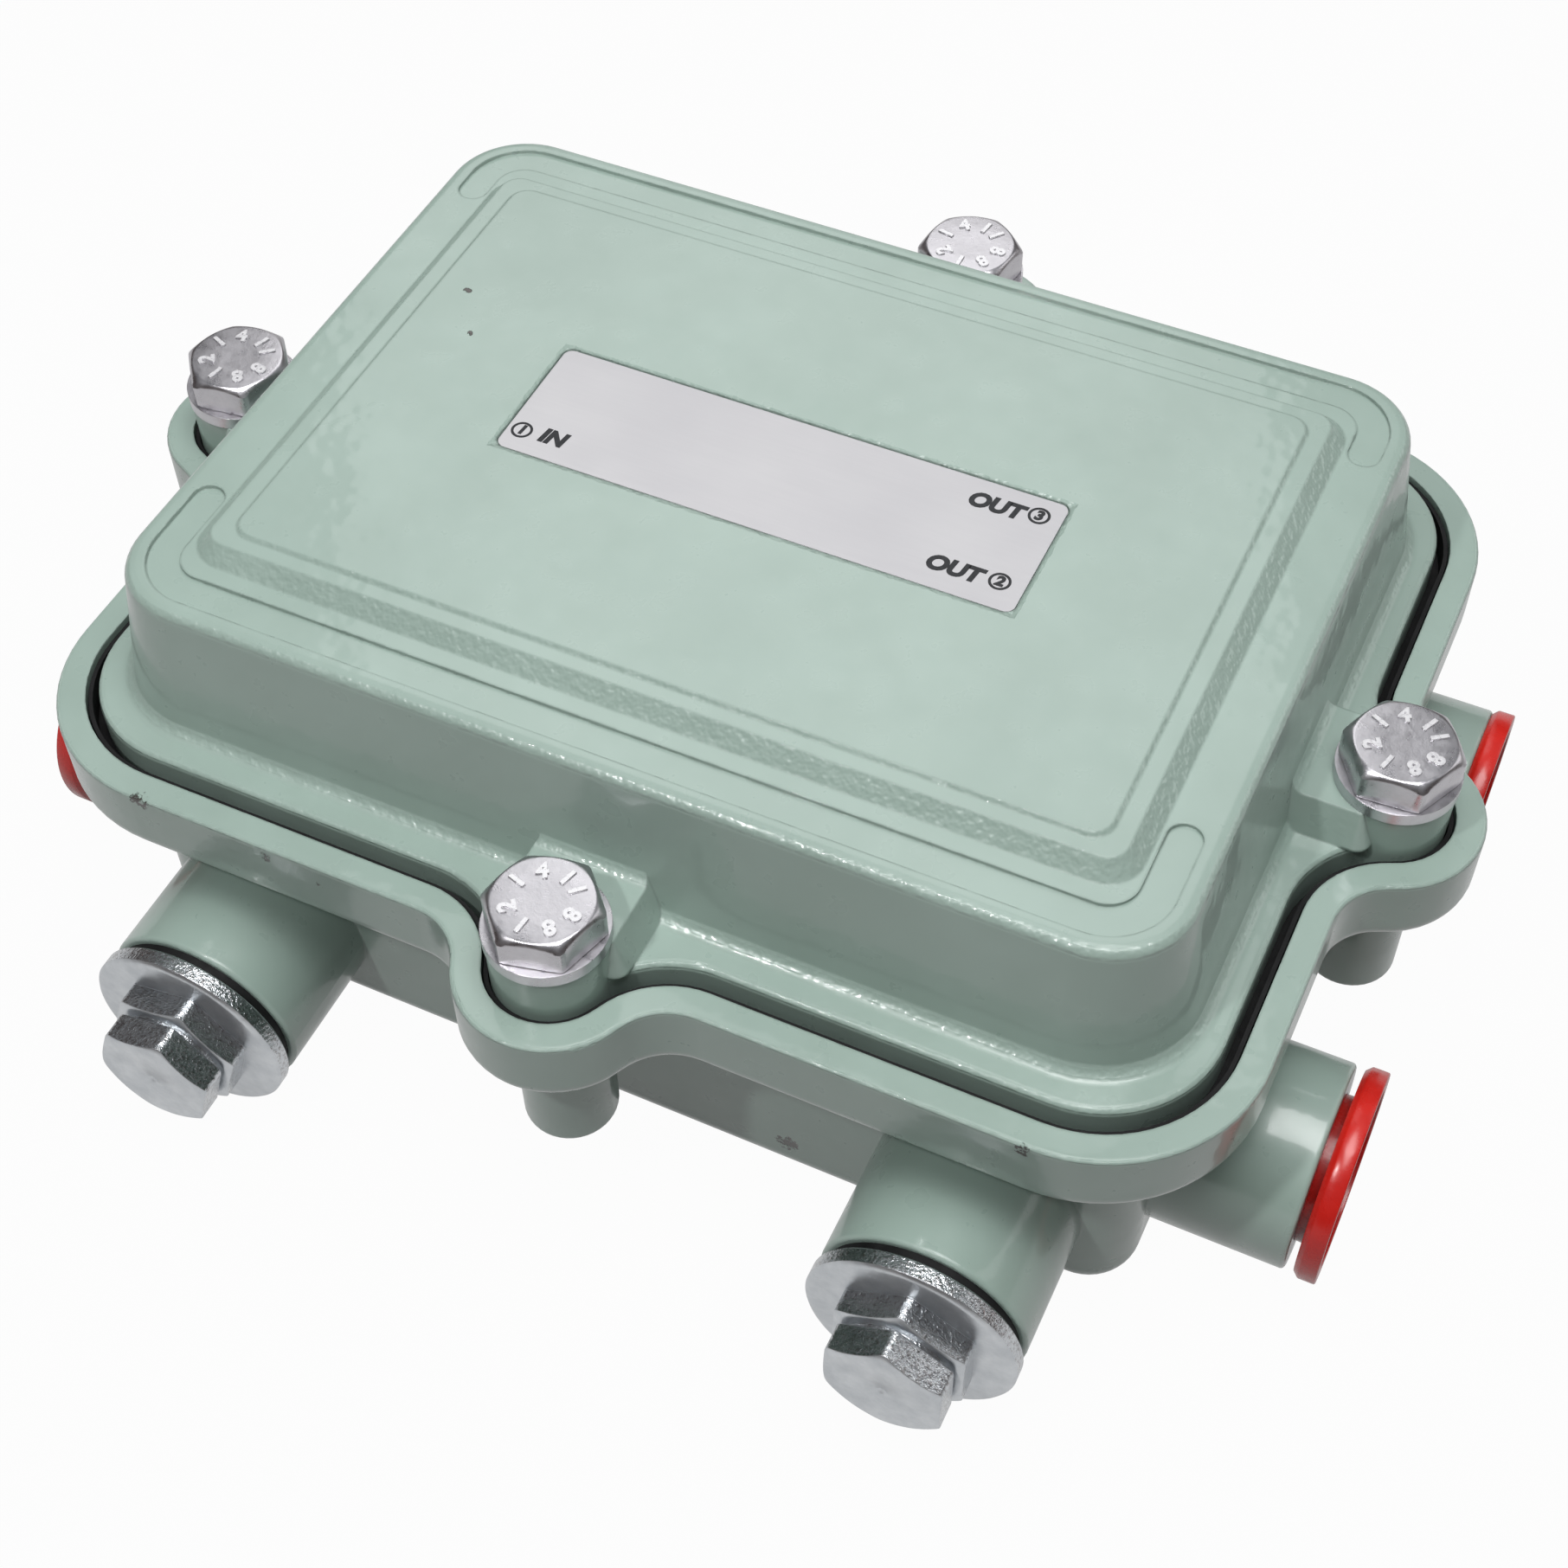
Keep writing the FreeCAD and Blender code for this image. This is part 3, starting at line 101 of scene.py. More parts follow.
# plain raised digits and strokes round each bolt head, with their places in degrees
MARKS = (("8", -64), ("8", -20), ("I", 30), ("I", 60), ("4", 105), ("I", 150), ("2", 205), ("I", 250))
MARK_RING = 3.4 * MM
MARK_SIZE = 2.5 * MM
MARK_HIGH = 0.3 * MM
MARK_WEIGHT = 0.12 * MM

# port plugs: the way each one faces and how far it is turned
PLUGS = {"front_left": ("front", 13.0), "front_right": ("front", 30.0), "back_right": ("back", 25.0)}
PLUG_LOWER_FLATS = 14.3 * MM
PLUG_UPPER_FLATS = 12.7 * MM
PLUG_FLANGE = 2.2 * MM
PLUG_LOWER = 3.0 * MM
PLUG_NECK = 0.5 * MM
PLUG_NECK_RADIUS = 6.0 * MM
PLUG_UPPER = 3.4 * MM
PORT_PITCH = 25.4 / 24 * MM
PORT_THREAD_DEPTH = 0.57 * MM
PORT_THREAD_RADIUS = 7.88 * MM
PORT_MOUTH = 7.0 * MM
PLUG_WIDE = 11.7 * MM
PLUG_SHOULDER = 8.2 * MM
SEAL_THICK = 1.2 * MM
SEAL_GAP = 0.02 * MM

# push-in caps, and the way each one faces
CAPS = {"left_front": "left", "right_front": "right", "right_back": "right"}
CAP_WIDE = 11.8 * MM
CAP_THICK = 2.5 * MM
CAP_BEVEL = 0.6 * MM
CAP_LIP = 1.8 * MM
CAP_RECESS = 1.0 * MM
CAP_BODY = 8.2 * MM
CAP_LONG = 6.2 * MM
CAP_CUP = 7.1 * MM
CAP_FLOOR = 1.0 * MM
CAP_PROUD = 1.0 * MM

# threads inside the ports
SIDE_TUBE = 15.2 * MM
END_TUBE = 15.0 * MM
TUB_WALL = 3.2 * MM
THREAD_GAP = 0.05 * MM
SLEEVE_SKIN = 7.96 * MM
PLUG_HIGH = SEAL_THICK + PLUG_FLANGE + PLUG_LOWER + PLUG_NECK + PLUG_UPPER

# circuit board: each line's terminal with the signs of its corner, and its number
LINES = (("in", -1, -1, "1"), ("out_2", 1, -1, "2"), ("out_3", 1, 1, "3"))
POST_OFFSET = 4.0 * MM
TRACK_WIDE = 2.0 * MM
TRACK_THICK = 0.06 * MM
TRACK_SLANT = 5.0 * MM
COIL_LEAD = 0.6 * MM
FUSE_PIN_IN = 2.4 * MM
FUSE_PIN_OUT = 2.0 * MM
FUSE_PIN_ASIDE = 3.0 * MM

# from the board's middle: where the tracks of a choke and a fuse end, and where the fuse's one bends
CHOKE_TRACK_END = (5.0 * MM, 12.0 * MM)
FUSE_TRACK_END = (5.0 * MM, 3.0 * MM)
FUSE_TRACK_BEND = 9.0 * MM

# the numbers printed on the board, and their place from a terminal's middle
NUMBER_SIZE = 3.0 * MM
NUMBER_THICK = 0.03 * MM
NUMBER_ASIDE = 1.0 * MM
NUMBER_AWAY = 8.2 * MM

# radius of the enamelled wire through the ferrite cores
WIRE = 0.3 * MM

# printed plate: word, its place, its circled number and that one's place, in millimetres
PRINT = (
    ("IN", -24.4, -5.0, "1", -28.0, -5.2),
    ("OUT", 22.4, 5.2, "3", 27.1, 5.7),
    ("OUT", 21.9, -4.9, "2", 26.9, -4.6),
)
PRINT_THICK = 0.04 * MM
WORD_SIZE = 2.8 * MM
WORD_LEAN = 0.15
WORD_WEIGHT = 0.16 * MM
DIGIT_SIZE = 1.85 * MM
DIGIT_LEAN = 0.1
DIGIT_WEIGHT = 0.11 * MM
CIRCLE_OUTER = 1.2 * MM
CIRCLE_INNER = 0.9 * MM
CIRCLE_THICK = 0.02 * MM

# lamps: azimuth and elevation in degrees, distance and side in metres, power in watts
LAMPS = {
    "above": (50, 80, 0.7, 0.36, 3.5),
    "front": (-22, 55, 0.6, 0.03, 1.0),
    "behind": (205, 48, 1.1, 0.5, 1.4),
    "right": (130, 28, 1.0, 0.5, 1.0),
    "back_low": (200, 18, 1.2, 0.5, 0.5),
}

# the sky's light: height of a direction, from 0 at the horizon to 1 overhead, and the colour there
SKY = ((0.25, (0.05, 0.035, 0.03, 1)), (0.8, (0.26, 0.27, 0.28, 1)))

# how much of the floor's own white each kind of ray sees
FLOOR_GLOW = {"Is Camera Ray": 0.97, "Is Glossy Ray": 0.6, "Is Transmission Ray": 0.9}
FLOOR_TONE = 0.24
FLOOR_REACH = 3.0
FLOOR_GAP = 0.02 * MM

# the four sides: the turn that takes a piece's own Z axis there, and the side's direction
OUTWARDS = {
    "front": Matrix.Rotation(math.radians(90), 4, "X"),
    "back": Matrix.Rotation(math.radians(-90), 4, "X"),
    "right": Matrix.Rotation(math.radians(90), 4, "Y"),
    "left": Matrix.Rotation(math.radians(-90), 4, "Y"),
}
AXES = {
    "front": Vector((0, -1, 0)),
    "back": Vector((0, 1, 0)),
    "right": Vector((1, 0, 0)),
    "left": Vector((-1, 0, 0)),
}

# a hexagon's corners, as a share of their sharp reach
HEX_CORNER = 0.985

# screw threads: shares of the pitch that the flat root and the two flanks take, and how far below
# the crests the plain ends lie, as a share of the thread's depth
THREAD_ROOT = 0.12
THREAD_FLANKS = 0.72
THREAD_ENDS = 0.15

# small damage to the paint, as in the photograph: place in millimetres and reach
CHIPS = (
    (-49.6, -53.5, 38.4, 1.9),
    (-34.0, -54.0, 37.2, 1.6),
    (-27.6, -54.4, 36.2, 1.8),
    (50.2, -53.7, 38.0, 1.5),
    (62.4, -51.6, 38.4, 2.0),
    (-44.6, 12.1, 58.7, 0.8),
    (-40.6, 6.0, 58.7, 0.7),
    (21.0, -44.4, 5.0, 2.2),
)


class Shader:
    """One procedural material, built node by node."""

    def __init__(self, name):
        self.material = bpy.data.materials.new(name)
        self.material.use_nodes = True
        self.tree = self.material.node_tree
        self.tree.nodes.clear()
        self.main = self.add("ShaderNodeBsdfPrincipled")
        out = self.add("ShaderNodeOutputMaterial")
        self.tree.links.new(self.main.outputs[0], out.inputs["Surface"])
        self.where = self.add("ShaderNodeTexCoord").outputs["Object"]

    def add(self, kind, values=None, **settings):
        made = self.tree.nodes.new(kind)
        for key, value in settings.items():
            setattr(made, key, value)
        for key, value in (values or {}).items():
            self.put(made.inputs[key], value)
        return made

    def put(self, socket, value):
        if isinstance(value, bpy.types.NodeSocket):
            self.tree.links.new(value, socket)
        elif socket.type == "RGBA":
            socket.default_value = (*value, 1.0)
        else:
            socket.default_value = value

    def shade(self, **values):
        """Set inputs of the main shader; underscores in a name stand for spaces."""
        for key, value in values.items():
            self.put(self.main.inputs[key.replace("_", " ")], value)
        return self.material

    def noise(self, size, detail=2.0, roughness=0.5, stretch=None):
        """Cloudy value whose blobs are about this size in metres."""
        where = self.where
        if stretch:
            where = self.add("ShaderNodeMapping", {"Vector": where, "Scale": stretch}).outputs[0]
        made = self.add(
            "ShaderNodeTexNoise",
            {"Vector": where, "Scale": 1.0 / size, "Detail": detail, "Roughness": roughness},
        )
        return made.outputs["Fac"]

    def cells(self, size):
        """Distance to the nearest of many scattered points, this far apart in metres."""
        made = self.add("ShaderNodeTexVoronoi", {"Vector": self.where, "Scale": 1.0 / size})
        return made.outputs["Distance"]

    def ramp(self, value, *stops):
        """Map a value through (place, colour) stops."""
        made = self.add("ShaderNodeValToRGB", {"Fac": value})
        points = made.color_ramp.elements
        while len(points) < len(stops):
            points.new(0.5)
        for point, (place, colour) in zip(points, stops):
            point.position = place
            point.color = (*colour, 1.0)
        return made.outputs["Color"]

    def span(self, value, low, high, to_low=0.0, to_high=1.0):
        made = self.add(
            "ShaderNodeMapRange",
            {"Value": value, "From Min": low, "From Max": high, "To Min": to_low, "To Max": to_high},
        )
        return made.outputs["Result"]

    def math(self, operation, a, b=0.0):
        made = self.add("ShaderNodeMath", operation=operation)
        self.put(made.inputs[0], a)
        self.put(made.inputs[1], b)
        return made.outputs[0]

    def mix(self, share, a, b):
        made = self.add("ShaderNodeMix", data_type="RGBA")
        self.put(made.inputs[0], share)
        self.put(made.inputs[6], a)
        self.put(made.inputs[7], b)
        return made.outputs[2]

    def bump(self, height, depth, normal=None):
        """Raise the surface by a value times a depth in metres."""
        values = {"Height": height, "Distance": depth, "Strength": 1.0}
        if normal is not None:
            values["Normal"] = normal
        return self.add("ShaderNodeBump", values).outputs[0]

    def soft_edges(self, radius):
        return self.add("ShaderNodeBevel", {"Radius": radius}, samples=3).outputs[0]

    def hollows(self, distance):
        """1 in the open, falling towards 0 in corners narrower than the distance."""
        made = self.add("ShaderNodeAmbientOcclusion", {"Distance": distance}, samples=3, only_local=True)
        return made.outputs["AO"]

    def place(self):
        """The point's X, Y and Z in the frame."""
        return self.add("ShaderNodeSeparateXYZ", {0: self.where}).outputs

    def slope(self):
        """The surface's Z direction: 1 on level tops, 0 on upright walls."""
        normal = self.add("ShaderNodeTexCoord").outputs["Normal"]
        return self.add("ShaderNodeSeparateXYZ", {0: normal}).outputs["Z"]

    def sides(self):
        """1 on walls along the object's own Z axis, 0 on its end faces."""
        return self.span(self.math("ABSOLUTE", self.slope()), 0.35, 0.75, 1.0, 0.0)

    def near(self, point, radius):
        """1 at a point of the frame, fading to 0 at the radius."""
        gap = self.add("ShaderNodeVectorMath", {0: self.where, 1: tuple(point)}, operation="DISTANCE")
        return self.span(gap.outputs["Value"], 0.0, radius, 1.0, 0.0)


def srgb(red, green, blue):
    """Linear colour of the usual 0 to 255 values."""
    def curve(value):
        value /= 255
        return value / 12.92 if value <= 0.04045 else ((value + 0.055) / 1.055) ** 2.4
    return curve(red), curve(green), curve(blue)


# materials


def painted_casting():
    s = Shader("painted_casting")
    paint = s.ramp(s.noise(26 * MM, 3.0), (0.3, srgb(146, 165, 156)), (0.7, srgb(155, 174, 165)))
    paint = s.mix(s.span(s.noise(7 * MM, 1.0), 0.3, 0.7, 0.0, 0.25), paint, srgb(140, 158, 148))
    bare = chips(s)
    paint = s.mix(bare, paint, srgb(66, 62, 58))
    normal = s.soft_edges(0.4 * MM)
    normal = s.bump(s.noise(5.0 * MM, 2.0), 0.07 * MM, normal)
    normal = s.bump(s.noise(1.6 * MM, 0.0), 0.012 * MM, normal)
    normal = s.bump(s.math("MULTIPLY", cast_edges(s), s.noise(0.8 * MM, 1.0)), 0.12 * MM, normal)
    normal = s.bump(label_border(s), 0.2 * MM, normal)
    normal = s.bump(s.math("SUBTRACT", 1.0, bare), 0.12 * MM, normal)
    return s.shade(
        Base_Color=paint,
        Roughness=s.span(s.noise(3 * MM, 3.0), 0.3, 0.7, 0.26, 0.36),
        Normal=normal,
        Coat_Weight=0.5,
        Coat_Roughness=0.055,
        Coat_Normal=normal,
    )


def cast_edges(s):
    """1 on the rounded edges of the lid and rim, where the casting's skin is rough under the paint."""
    level = s.slope()
    band = s.math("MINIMUM", s.span(level, 0.3, 0.5), s.span(level, 0.88, 0.98, 1.0, 0.0))
    return s.math("MULTIPLY", band, s.span(s.place()["Z"], 30 * MM, 32 * MM))


def label_border(s):
    """0 at the label's recess, rising to 1 within half a millimetre: the paint's soft edge round it."""
    low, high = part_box("label_plate")
    middle, half = (low + high) / 2, (high - low) / 2
    gaps = []
    for axis in range(2):
        off = s.math("ABSOLUTE", s.math("SUBTRACT", s.place()[axis], middle[axis]))
        gaps.append(s.math("SUBTRACT", off, half[axis]))
    ragged = s.span(s.noise(0.8 * MM, 2.0), 0.3, 0.7, -0.1 * MM, 0.1 * MM)
    gap = s.math("ADD", s.math("MAXIMUM", *gaps), ragged)
    return s.span(gap, 0.05 * MM, 0.6 * MM)


def chips(s):
    """1 where the paint is knocked off, in ragged spots."""
    found = None
    for x, y, z, reach in CHIPS:
        spot = s.near((x * MM, y * MM, z * MM), reach * MM)
        found = spot if found is None else s.math("MAXIMUM", found, spot)
    ragged = s.math("MULTIPLY", found, s.span(s.noise(0.8 * MM, 4.0, 0.65), 0.3, 0.7, 0.0, 2.0))
    return s.span(ragged, 0.42, 0.6)


def black_rubber():
    s = Shader("black_rubber")
    tone = s.ramp(s.noise(3 * MM, 3.0), (0.35, srgb(9, 9, 10)), (0.7, srgb(20, 20, 21)))
    return s.shade(
        Base_Color=tone,
        Roughness=s.span(s.noise(1.5 * MM), 0.3, 0.7, 0.5, 0.75),
        Normal=s.bump(s.noise(0.35 * MM, 3.0), 0.02 * MM),
        Specular_IOR_Level=0.3,
    )


def woven_wire():
    s = Shader("woven_wire")
    loops = s.cells(0.55 * MM)
    # painted shade: light on the raised loops and dark in the hollows between them, which the bump below
    # raises and sinks
    tone = s.ramp(loops, (0.1, srgb(188, 188, 182)), (0.6, srgb(84, 84, 80)))
    return s.shade(
        Base_Color=tone,
        Metallic=0.9,
        Roughness=s.span(s.noise(0.8 * MM), 0.3, 0.7, 0.3, 0.5),
        Normal=s.bump(s.math("SUBTRACT", 1.0, loops), 0.25 * MM),
    )


def label_face():
    s = Shader("label_face")
    brushed = s.noise(0.25 * MM, 2.0, 0.5, stretch=(0.04, 1.0, 1.0))
    tone = s.ramp(s.noise(16 * MM, 2.0), (0.3, srgb(182, 181, 184)), (0.7, srgb(191, 190, 192)))
    tone = s.mix(s.span(brushed, 0.3, 0.7, 0.0, 0.10), tone, srgb(172, 171, 176))
    return s.shade(
        Base_Color=tone,
        Roughness=s.span(brushed, 0.3, 0.7, 0.36, 0.46),
        Normal=s.bump(brushed, 0.003 * MM, s.soft_edges(0.12 * MM)),
    )


def ink():
    s = Shader("label_ink")
    return s.shade(
        Base_Color=s.ramp(s.noise(0.5 * MM, 3.0), (0.3, srgb(16, 18, 22)), (0.7, srgb(34, 36, 40))),
        Roughness=s.span(s.noise(0.4 * MM), 0.3, 0.7, 0.42, 0.55),
        Normal=s.bump(s.noise(0.3 * MM), 0.004 * MM),
    )


def board_laminate():
    s = Shader("board_laminate")
    weave = s.noise(0.5 * MM, 2.0, 0.5)
    tone = s.ramp(s.noise(9 * MM, 3.0), (0.3, srgb(16, 84, 48)), (0.7, srgb(24, 98, 56)))
    tone = s.mix(s.span(weave, 0.3, 0.7, 0.0, 0.2), tone, srgb(12, 70, 40))
    return s.shade(
        Base_Color=tone,
        Roughness=s.span(s.noise(1.2 * MM, 3.0), 0.3, 0.7, 0.28, 0.42),
        Normal=s.bump(weave, 0.01 * MM),
    )


def zinc_steel():
    s = Shader("zinc_steel")
    cloud = s.noise(1.8 * MM, 4.0, 0.6)
    tone = s.ramp(cloud, (0.3, srgb(190, 188, 192)), (0.7, srgb(207, 205, 209)))
    # painted shade: the steel darkens towards near black in corners and creases, where shade falls
    unshaded = s.hollows(1.0 * MM)
    tone = s.mix(s.span(unshaded, 0.1, 0.6, 0.6, 0.0), tone, srgb(48, 48, 52))
    normal = s.soft_edges(0.14 * MM)
    normal = s.bump(s.noise(1.1 * MM, 2.0), 0.022 * MM, normal)
    normal = s.bump(s.noise(0.2 * MM, 2.0), 0.008 * MM, normal)
    return s.shade(
        Base_Color=tone,
        Metallic=1.0,
        Roughness=s.span(cloud, 0.3, 0.7, 0.24, 0.38),
        Normal=normal,
    )


def rubbed_highlight_mark():
    """The proud face of a raised mark, rubbed bright, and painted lighter than the head as a highlight."""
    s = Shader("rubbed_highlight_mark")
    rubbed = s.noise(0.5 * MM, 3.0)
    return s.shade(
        Base_Color=s.ramp(rubbed, (0.3, srgb(214, 213, 216)), (0.7, srgb(232, 231, 233))),
        Metallic=0.4,
        Roughness=s.span(rubbed, 0.3, 0.7, 0.24, 0.36),
        Normal=s.bump(s.noise(0.25 * MM), 0.01 * MM, s.soft_edges(0.08 * MM)),
    )


def bright_zinc():
    s = Shader("bright_zinc")
    cloud = s.noise(2.4 * MM, 4.0, 0.6)
    walls = s.sides()
    tone = s.ramp(cloud, (0.3, srgb(196, 200, 204)), (0.7, srgb(218, 221, 224)))
    hammered = s.noise(0.42 * MM, 3.0, 0.62)
    pits = s.math("MULTIPLY", walls, s.span(hammered, 0.5, 0.66))
    tone = s.mix(s.math("MULTIPLY", pits, 0.5), tone, srgb(104, 86, 78))
    normal = s.soft_edges(0.2 * MM)
    normal = s.bump(s.noise(3.2 * MM, 2.0), 0.10 * MM, normal)
    normal = s.bump(s.math("MULTIPLY", walls, hammered), 0.11 * MM, normal)
    normal = s.bump(s.noise(0.3 * MM, 2.0), 0.008 * MM, normal)
    return s.shade(
        Base_Color=tone,
        Metallic=1.0,
        Roughness=s.span(walls, 0.0, 1.0, 0.34, 0.16),
        Normal=normal,
    )


def red_plastic():
    s = Shader("red_plastic")
    tone = s.ramp(s.noise(5 * MM, 3.0), (0.3, srgb(186, 26, 20)), (0.7, srgb(204, 36, 28)))
    # painted shade: the red darkens towards deep red in the cap's recess and corners, where shade falls
    unshaded = s.hollows(2.0 * MM)
    tone = s.mix(s.span(unshaded, 0.3, 0.9, 0.8, 0.0), tone, srgb(104, 12, 12))
    normal = s.bump(s.noise(2.2 * MM, 2.0), 0.03 * MM, s.soft_edges(0.08 * MM))
    return s.shade(
        Base_Color=tone,
        Roughness=s.span(s.noise(1.6 * MM), 0.3, 0.7, 0.2, 0.32),
        Normal=normal,
        Subsurface_Weight=0.06,
        Subsurface_Radius=(0.002, 0.0004, 0.0003),
        Subsurface_Scale=1.0,
    )


def plain_solid(name, dark, light, blob, rough, depth, **extra):
    """A moulded, sintered or glazed material: two near tones, varied gloss and a fine relief."""
    s = Shader(name)
    tone = s.ramp(s.noise(blob, 4.0, 0.6), (0.3, dark), (0.7, light))
    normal = s.bump(s.noise(blob / 6, 3.0), depth, s.soft_edges(0.2 * MM))
    return s.shade(
        Base_Color=tone,
        Roughness=s.span(s.noise(blob / 2, 3.0), 0.3, 0.7, *rough),
        Normal=normal,
        **extra,
    )


def enamelled_copper():
    s = Shader("enamelled_copper")
    tone = s.ramp(s.noise(2.0 * MM, 3.0), (0.3, srgb(150, 62, 24)), (0.7, srgb(184, 88, 40)))
    return s.shade(
        Base_Color=tone,
        Metallic=0.75,
        Roughness=s.span(s.noise(1.0 * MM), 0.3, 0.7, 0.16, 0.3),
        Normal=s.bump(s.noise(0.4 * MM, 2.0), 0.01 * MM),
        Coat_Weight=0.6,
        Coat_Roughness=0.12,
    )


MATERIALS = {
    "painted_casting": painted_casting(),
    "black_rubber": black_rubber(),
    "woven_wire": woven_wire(),
    "label_face": label_face(),
    "board_laminate": board_laminate(),
    "zinc_steel": zinc_steel(),
    "bright_zinc": bright_zinc(),
    "red_plastic": red_plastic(),
    "white_plastic": plain_solid(
        "white_plastic", srgb(206, 203, 194), srgb(226, 224, 216), 4 * MM, (0.4, 0.55), 0.015 * MM
    ),
    "brass": plain_solid(
        "brass", srgb(176, 142, 72), srgb(212, 178, 104), 2 * MM, (0.18, 0.32), 0.008 * MM, Metallic=1.0
    ),
    "ferrite": plain_solid("ferrite", srgb(38, 38, 40), srgb(62, 62, 64), 1.5 * MM, (0.5, 0.7), 0.03 * MM),
    "enamelled_copper": enamelled_copper(),
    "black_plastic": plain_solid(
        "black_plastic", srgb(20, 20, 21), srgb(34, 34, 35), 3 * MM, (0.35, 0.5), 0.012 * MM
    ),
    "fuse_plastic": plain_solid(
        "fuse_plastic", srgb(24, 66, 170), srgb(40, 90, 200), 4 * MM, (0.16, 0.28), 0.008 * MM,
        Transmission_Weight=0.25,
    ),
    "capacitor_body": plain_solid(
        "capacitor_body", srgb(176, 104, 40), srgb(200, 128, 58), 2 * MM, (0.38, 0.5), 0.02 * MM
    ),
    "glazed_ceramic": plain_solid(
        "glazed_ceramic", srgb(222, 219, 208), srgb(238, 236, 228), 4 * MM, (0.12, 0.22), 0.01 * MM
    ),
    "ink": ink(),
    "rubbed_highlight_mark": rubbed_highlight_mark(),
    "solder": plain_solid(
        "solder", srgb(176, 178, 180), srgb(214, 215, 216), 1.0 * MM, (0.2, 0.34), 0.01 * MM, Metallic=1.0
    ),
    "track": plain_solid("track", srgb(34, 122, 70), srgb(48, 140, 84), 3 * MM, (0.26, 0.36), 0.006 * MM),
    "screen_print": plain_solid(
        "screen_print", srgb(214, 214, 206), srgb(232, 232, 226), 1.0 * MM, (0.5, 0.6), 0.004 * MM
    ),
}

for row in frame["record"]["subparts"]:
    node_mesh = NODES[row["node"]].data
    node_mesh.materials.clear()
    node_mesh.materials.append(MATERIALS[row["material_slot"]])


# meshes


def piece(name, points, faces, body, slot, place=None, sharp=35.0, finish=None):
    """Make a mesh object that rides on a body."""
    mesh = bpy.data.meshes.new(name)
    mesh.from_pydata([tuple(p) for p in points], [], faces)
    mesh.validate()
    mesh.polygons.foreach_set("use_smooth", [True] * len(mesh.polygons))
    mesh.set_sharp_from_angle(angle=math.radians(sharp))
    mesh.materials.append(MATERIALS[finish or slot])
    made = bpy.data.objects.new(name, mesh)
    SCENE.collection.objects.link(made)
    if place is not None:
        made.matrix_world = place
    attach(made, body)
    return made


def turned(outline, steps):
    """Points and faces of a solid about Z.

    outline(angle) lists (radius, height) from the lower pole to the upper. The first and last
    entries have radius 0, and the rest make one ring each.
    """
    columns = [outline(2 * math.pi * k / steps) for k in range(steps)]
    rings = len(columns[0]) - 2
    points = [(0.0, 0.0, columns[0][0][1])]
    for ring in range(1, rings + 1):
        for k, column in enumerate(columns):
            angle = 2 * math.pi * k / steps
            radius, height = column[ring]
            points.append((radius * math.cos(angle), radius * math.sin(angle), height))
    points.append((0.0, 0.0, columns[0][-1][1]))
    last = len(points) - 1
    faces = []
    for k in range(steps):
        after = (k + 1) % steps
        faces.append((0, 1 + after, 1 + k))
        for ring in range(rings - 1):
            a = 1 + ring * steps
            b = a + steps
            faces.append((a + k, a + after, b + after, b + k))
        top = 1 + (rings - 1) * steps
        faces.append((last, top + k, top + after))
    return points, faces


def rotated(points, degrees):
    """The same points turned about Z."""
    turn = Matrix.Rotation(math.radians(degrees), 3, "Z")
    return [turn @ Vector(p) for p in points]


def hex_radius(angle, flats):
    """Distance from a hexagon's centre to its edge; the corners, at 0, 60, ... degrees, are cut short."""
    sixth = math.pi / 3
    off = abs((angle + sixth / 2) % sixth - sixth / 2)
    apothem = flats / 2
    corner = apothem / math.cos(sixth / 2) * HEX_CORNER
    return min(apothem / math.cos(sixth / 2 - off), corner)


def hex_step(angle, flats, base, top, slope, chamfer, shoulder=0.0):
    """Outline of one hexagonal step, from its base up to its round top with a rounded shoulder."""
    edge = hex_radius(angle, flats)
    flat = flats / 2 * chamfer
    drop = shoulder + (edge - flat) * math.tan(math.radians(slope))
    soft = 0.12 * MM
    made = [(edge - soft, base), (edge, base + soft)]
    for share in (1.0, 0.8, 0.6, 0.4, 0.2, 0.0):
        made.append((flat + (edge - flat) * share, top - drop * share ** 1.7))
    made.append((flat - soft, top))
    return made


def thread_rows(radius, depth, pitch, bottom, top, runout, per_turn=8):
    """(height, function of the angle giving the radius) for each ring of a right-handed thread."""
    count = max(2, int((top - bottom) / pitch * per_turn))
    rows = []
    for i in range(count + 1):
        height = bottom + (top - bottom) * i / count
        fade = min(1.0, (height - bottom) / runout, (top - height) / runout)

        def at(angle, height=height, fade=max(0.0, fade)):
            phase = (height / pitch - angle / (2 * math.pi)) % 1.0
            wave = abs(2 * phase - 1)
            crest = min(1.0, max(0.0, (wave - THREAD_ROOT) / THREAD_FLANKS))
            return radius - depth * (fade * (1 - crest) + THREAD_ENDS * (1 - fade))

        rows.append((height, at))
    return rows


def raised_mark(name, text, size, body, place, height, finish, lean=0.0, weight=0.0):
    """Raised characters in the plain built-in letters, half sunk where they stand."""
    curve = bpy.data.curves.new(name, "FONT")
    curve.body = text
    curve.size = size
    curve.align_x = "CENTER"
    curve.align_y = "CENTER"
    curve.extrude = height / 2
    curve.shear = lean
    curve.offset = weight
    curve.resolution_u = 4
    curve.materials.append(MATERIALS[finish])
    made = bpy.data.objects.new(name, curve)
    SCENE.collection.objects.link(made)
    made.matrix_world = place
    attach(made, body)


def middle_of(node):
    low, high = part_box(node)
    return (low + high) / 2


def length_along(node, way):
    """A node's length towards one side of the housing."""
    low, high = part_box(node)
    return abs((high - low).dot(AXES[way]))


def outer_face(node, way):
    """The middle of a node's outer face on one side of the housing."""
    return middle_of(node) + AXES[way] * length_along(node, way) / 2


# bolts


